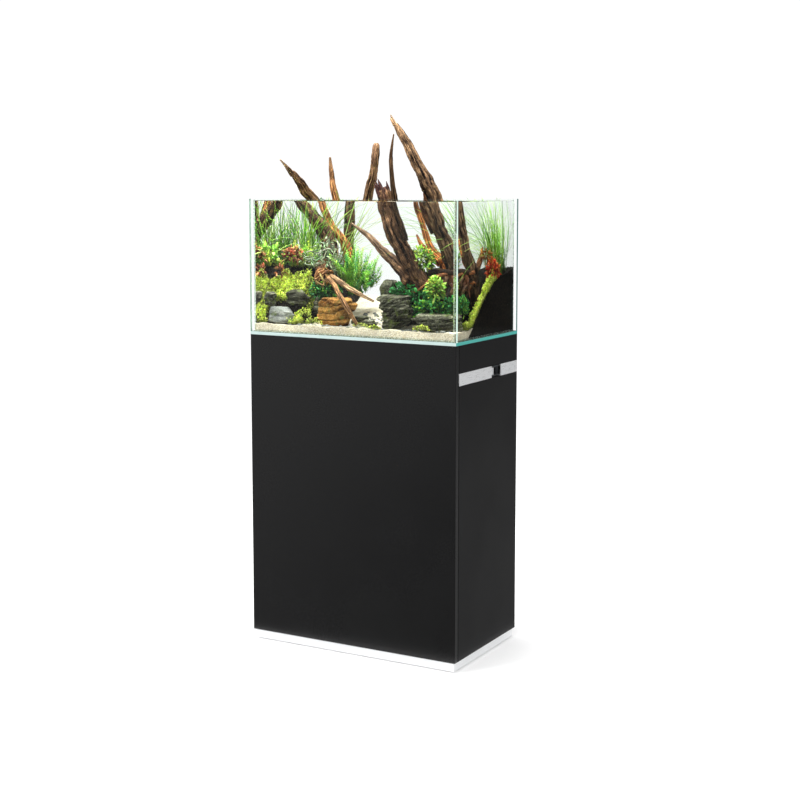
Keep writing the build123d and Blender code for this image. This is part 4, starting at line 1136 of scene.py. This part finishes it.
    left = Shell()
    grass(left, 281, (-0.286, -0.200), (0.02, 0.150), 1.166, 16, (0.06, -0.04))
    grass(left, 282, (-0.225, -0.130), (0.09, 0.150), 1.166, 5, (0.30, -0.05), PALE_BLADE)
    trailing(left, [[(-170, 100, 1120), (-196, 100, 1160), (-222, 100, 1218)],
                    [(-160, 104, 1100), (-186, 96, 1150), (-205, 92, 1185)],
                    [(-190, 110, 1040), (-130, 100, 1120), (-60, 90, 1152)],
                    [(-180, 110, 1050), (-150, 100, 1125), (-100, 90, 1150)]], (0.20, 0.34, 0.07))
    finish(left, "grass_left_blades", ["grass_left"], blades)

    right_grass = Shell()
    grass(right_grass, 291, (0.245, 0.286), (0.090, 0.158), 1.166, 14, (-0.14, -0.16))
    grass(right_grass, 292, (0.150, 0.240), (0.09, 0.155), 1.160, 7, (-0.22, -0.05))
    trailing(right_grass, [[(190, 120, 1000), (120, 80, 1092), (54, 60, 1112)],
                           [(200, 120, 1010), (130, 90, 1078), (60, 70, 1094)],
                           [(180, 120, 1010), (60, 100, 1110), (-60, 80, 1094)],
                           [(190, 120, 1040), (110, 100, 1130), (20, 90, 1140)]], (0.12, 0.24, 0.06))
    finish(right_grass, "grass_right_blades", ["grass_right"], blades)


# ---- water ------------------------------------------------------------------------------------
def make_water(material):
    """The body of water, with a meniscus that climbs the panes at its surface."""
    x = (PANE_LEFT + CLEAR, PANE_RIGHT - CLEAR)
    y = (PANE_FRONT + CLEAR, PANE_REAR - CLEAR)
    steps = [(FLOOR + CLEAR, 0.0), (WATER_TOP + 0.0012, 0.0), (WATER_TOP + 0.0004, 0.0010),
             (WATER_TOP, 0.0030)]
    verts = []
    for z, inset in steps:
        verts += [(x[0] + inset, y[0] + inset, z), (x[1] - inset, y[0] + inset, z),
                  (x[1] - inset, y[1] - inset, z), (x[0] + inset, y[1] - inset, z)]
    faces = [(3, 2, 1, 0)]
    for row in range(len(steps) - 1):
        for i in range(4):
            j = (i + 1) % 4
            faces.append((4 * row + i, 4 * row + j, 4 * row + 4 + j, 4 * row + 4 + i))
    last = 4 * (len(steps) - 1)
    faces.append((last, last + 1, last + 2, last + 3))
    place(build("water", verts, faces, smooth=False), material)


# ---- studio -----------------------------------------------------------------------------------
AZIMUTH = math.radians(29.275)
PITCH = math.radians(6.334)
DISTANCE = 3.791
TARGET = Vector((0.0562, -0.0155, 0.7815))
SENSOR_WIDTH = 36.0
LENS = 66.15
SHIFT = -0.066
FLOOR_REACH = 40            # from the object to the floor's edges
MIRROR_REACH = 0.1          # reflections see the floor only this near


def make_camera():
    level = math.cos(PITCH)
    forward = Vector((-math.sin(AZIMUTH) * level, math.cos(AZIMUTH) * level, -math.sin(PITCH)))
    data = bpy.data.cameras.new("camera")
    data.sensor_width = SENSOR_WIDTH
    data.lens = LENS
    data.shift_y = SHIFT
    camera = bpy.data.objects.new("camera", data)
    camera.location = TARGET - forward * DISTANCE
    camera.rotation_euler = forward.to_track_quat("-Z", "Y").to_euler()
    bpy.context.scene.collection.objects.link(camera)
    bpy.context.scene.camera = camera


def area_light(name, location, aim, size, power):
    data = bpy.data.lights.new(name, "AREA")
    data.shape = "RECTANGLE"
    data.size, data.size_y = size
    data.energy = power
    light = bpy.data.objects.new(name, data)
    light.location = location
    light.rotation_euler = (Vector(aim) - Vector(location)).to_track_quat("-Z", "Y").to_euler()
    bpy.context.scene.collection.objects.link(light)


def make_world():
    """A white studio that is darker to mirror reflections, so that black panels stay black."""
    world = bpy.data.worlds.new("studio")
    bpy.context.scene.world = world
    world.use_nodes = True
    tree = world.node_tree
    tree.nodes.clear()

    def node(kind, **settings):
        made = tree.nodes.new(kind)
        for key, value in settings.items():
            setattr(made, key, value)
        return made

    out = node("ShaderNodeOutputWorld")
    background = node("ShaderNodeBackground")
    background.inputs["Color"].default_value = (1, 1, 1, 1)
    split = node("ShaderNodeSeparateXYZ")
    tree.links.new(node("ShaderNodeTexCoord").outputs["Generated"], split.inputs[0])

    def ramp(axis, source, target, base=None):
        """Adds a linear rise along one axis to what the other axes give."""
        rise = node("ShaderNodeMapRange")
        tree.links.new(split.outputs[axis], rise.inputs["Value"])
        for key, value in zip(("From Min", "From Max", "To Min", "To Max"), (*source, *target)):
            rise.inputs[key].default_value = value
        if base is None:
            return rise.outputs[0]
        total = node("ShaderNodeMath", operation="ADD")
        tree.links.new(rise.outputs[0], total.inputs[0])
        tree.links.new(base, total.inputs[1])
        return total.outputs[0]

    front = ramp("X", (-0.58, -0.40), (0.40, 0.02))
    front = ramp("Z", (-0.27, -0.05), (0.0, 0.36), front)
    rear = node("ShaderNodeMix", data_type="FLOAT")
    tree.links.new(ramp("Y", (-0.2, 0.2), (0.0, 1.0)), rear.inputs[0])
    tree.links.new(front, rear.inputs[2])
    tree.links.new(ramp("Z", (-0.125, -0.095), (0.35, 0.03)), rear.inputs[3])
    path = node("ShaderNodeLightPath")
    mirror = node("ShaderNodeMath", operation="SUBTRACT", use_clamp=True)
    tree.links.new(path.outputs["Is Glossy Ray"], mirror.inputs[0])
    tree.links.new(path.outputs["Is Transmission Ray"], mirror.inputs[1])
    strength = node("ShaderNodeMix", data_type="FLOAT")
    tree.links.new(mirror.outputs[0], strength.inputs[0])
    strength.inputs[2].default_value = 1.05
    tree.links.new(rear.outputs[0], strength.inputs[3])
    tree.links.new(strength.outputs[0], background.inputs["Strength"])
    tree.links.new(background.outputs[0], out.inputs["Surface"])


def floor_material():
    """White floor; beyond a hand's width a mirror reflection sees past it, into the dim studio."""
    s = Shader("studio_floor", Roughness=0.9, Specular_IOR_Level=0.0, Emission_Strength=0.12,
               Emission_Color=(1, 1, 1, 1))
    s.colour(s.ramp(s.noise(s.coords(), 3.0, 3.0), [(0.3, (0.90, 0.90, 0.90)), (0.7, (0.93, 0.93, 0.93))]))
    path = s.node("ShaderNodeLightPath")
    far = s.math("GREATER_THAN", path.outputs["Ray Length"], MIRROR_REACH)
    mix = s.node("ShaderNodeMixShader")
    s.link(s.math("MULTIPLY", far, path.outputs["Is Glossy Ray"]), mix.inputs[0])
    s.link(s.bsdf.outputs[0], mix.inputs[1])
    s.link(s.node("ShaderNodeBsdfTransparent").outputs[0], mix.inputs[2])
    s.link(mix.outputs[0], s.out.inputs["Surface"])
    return s.material


def make_studio():
    make_camera()
    make_world()
    area_light("key", (-1.6, -2.2, 3.4), (0, 0, 0.9), (1.4, 1.4), 75)
    area_light("top", (0.0, -0.1, 2.6), (0, 0, 1.0), (0.9, 0.6), 55)
    corners = [(x * FLOOR_REACH, y * FLOOR_REACH, 0) for x, y in ((-1, -1), (1, -1), (1, 1), (-1, 1))]
    floor = build("studio_floor", corners, [(0, 1, 2, 3)])
    floor.data.materials.append(floor_material())
    bpy.context.scene.view_settings.view_transform = "Standard"


# ---- carried-over CAD nodes --------------------------------------------------------------------
def dress(material, *names):
    """Gives CAD nodes a better material."""
    for name in names:
        for slot in NODES[name].material_slots:
            slot.material = material


def dress_cabinet():
    front = black_board("black_front", (0.0030, 0.0030, 0.0033), 0.26, 0.50)
    panel = black_board("black_panel", (0.0085, 0.0085, 0.0090), 0.40, 0.20)
    dress(front, "door")
    dress(panel, "side_left", "side_right", "cabinet_floor", "cabinet_top", "back_panel", "shelf")
    trims = [name for name in NODES if name.startswith(("trim_", "shutter_"))]
    dress(brushed_metal("trim_metal", 0.30, (1600, 26, 1600), 6.0), *trims)
    dress(brushed_metal("plinth_metal_long", 0.34, (14, 1500, 1500), 4.0), "plinth_front", "plinth_rear")
    dress(brushed_metal("plinth_metal_deep", 0.34, (1500, 14, 1500), 4.0), "plinth_left", "plinth_right")
    dress(moulded("outlet_plastic", (0.055, 0.06, 0.065), 0.5), "outlet_left", "outlet_right", "foot_sockets")
    feet = [name for name in NODES if name.startswith("foot_") and name != "foot_sockets"]
    dress(moulded("foot_plastic", (0.02, 0.02, 0.02), 0.6), *feet)
    dress(moulded("latch_plastic", (0.18, 0.18, 0.19), 0.45), "latch_body", "latch_plunger")
    dress(moulded("bumper_rubber", (0.30, 0.31, 0.32), 0.4), "door_bumpers")
    dress(moulded("mat_foam", (0.012, 0.012, 0.012), 0.85), "tank_mat")
    metal = [name for name in NODES if name.startswith("hinge_")]
    dress(plated_steel(), *metal, "shelf_pins", "cam_locks")


def dress_tank():
    """Each tone pair is the colour of the edges that look to the front or top, then to the side. The tones
    are the glass's green with painted light and shade: pale on the front pane's ends, dark on the rear pane's
    and on the floor pane's sides, shaded copies of the same glass.
    """
    band = (0.45, 0.70, 0.66)
    rim = (0.34, 0.40, 0.33)
    dress(pane_glass("glass_facing", "XZ", (rim, (0.72, 0.90, 0.80)), band), "glass_front")
    rear = pane_glass("glass_facing_rear", "XZ", (rim, (0.08, 0.17, 0.16)), (0.03, 0.08, 0.08))
    dress(rear, "glass_rear")
    dress(pane_glass("glass_sides", "Z", (rim, rim), band), "glass_left", "glass_right")
    tones = ((0.46, 0.55, 0.53), (0.05, 0.34, 0.30))
    dress(pane_glass("glass_floor", "XY", tones, (0.16, 0.36, 0.34)), "glass_base")
    dress(clear_silicone(), "silicone_seams")


make_studio()
dress_cabinet()
make_hinge_screws(plated_steel())
dress_tank()
make_driftwood(driftwood_material())
grey = stone_material("grey_stone", (0.07, 0.075, 0.07), (0.22, 0.235, 0.22), (0.56, 0.57, 0.52), 60)
dark = stone_material("dark_stone", (0.010, 0.010, 0.007), (0.055, 0.055, 0.036), (0.34, 0.34, 0.24), 150)
rust = stone_material("rust_stone", (0.010, 0.006, 0.003), (0.19, 0.075, 0.013), (0.70, 0.40, 0.11), 45)
make_stones(grey, dark, rust)
make_small_stones(dark, grey)
sand_colours = [(0.66, 0.58, 0.40), (0.86, 0.80, 0.62), (0.95, 0.92, 0.76), (1.0, 0.98, 0.90),
                (0.78, 0.70, 0.50)]
soil_colours = [(0.005, 0.004, 0.003), (0.012, 0.009, 0.007), (0.024, 0.017, 0.012), (0.007, 0.006, 0.005)]
sand_material = grain_material("sand_grains", sand_colours, 0.0016, 0.5)
soil_material = grain_material("soil_grains", soil_colours, 0.0030, 0.9)
make_ground(sand_material, soil_material)
make_plants()
make_water(clear_water())
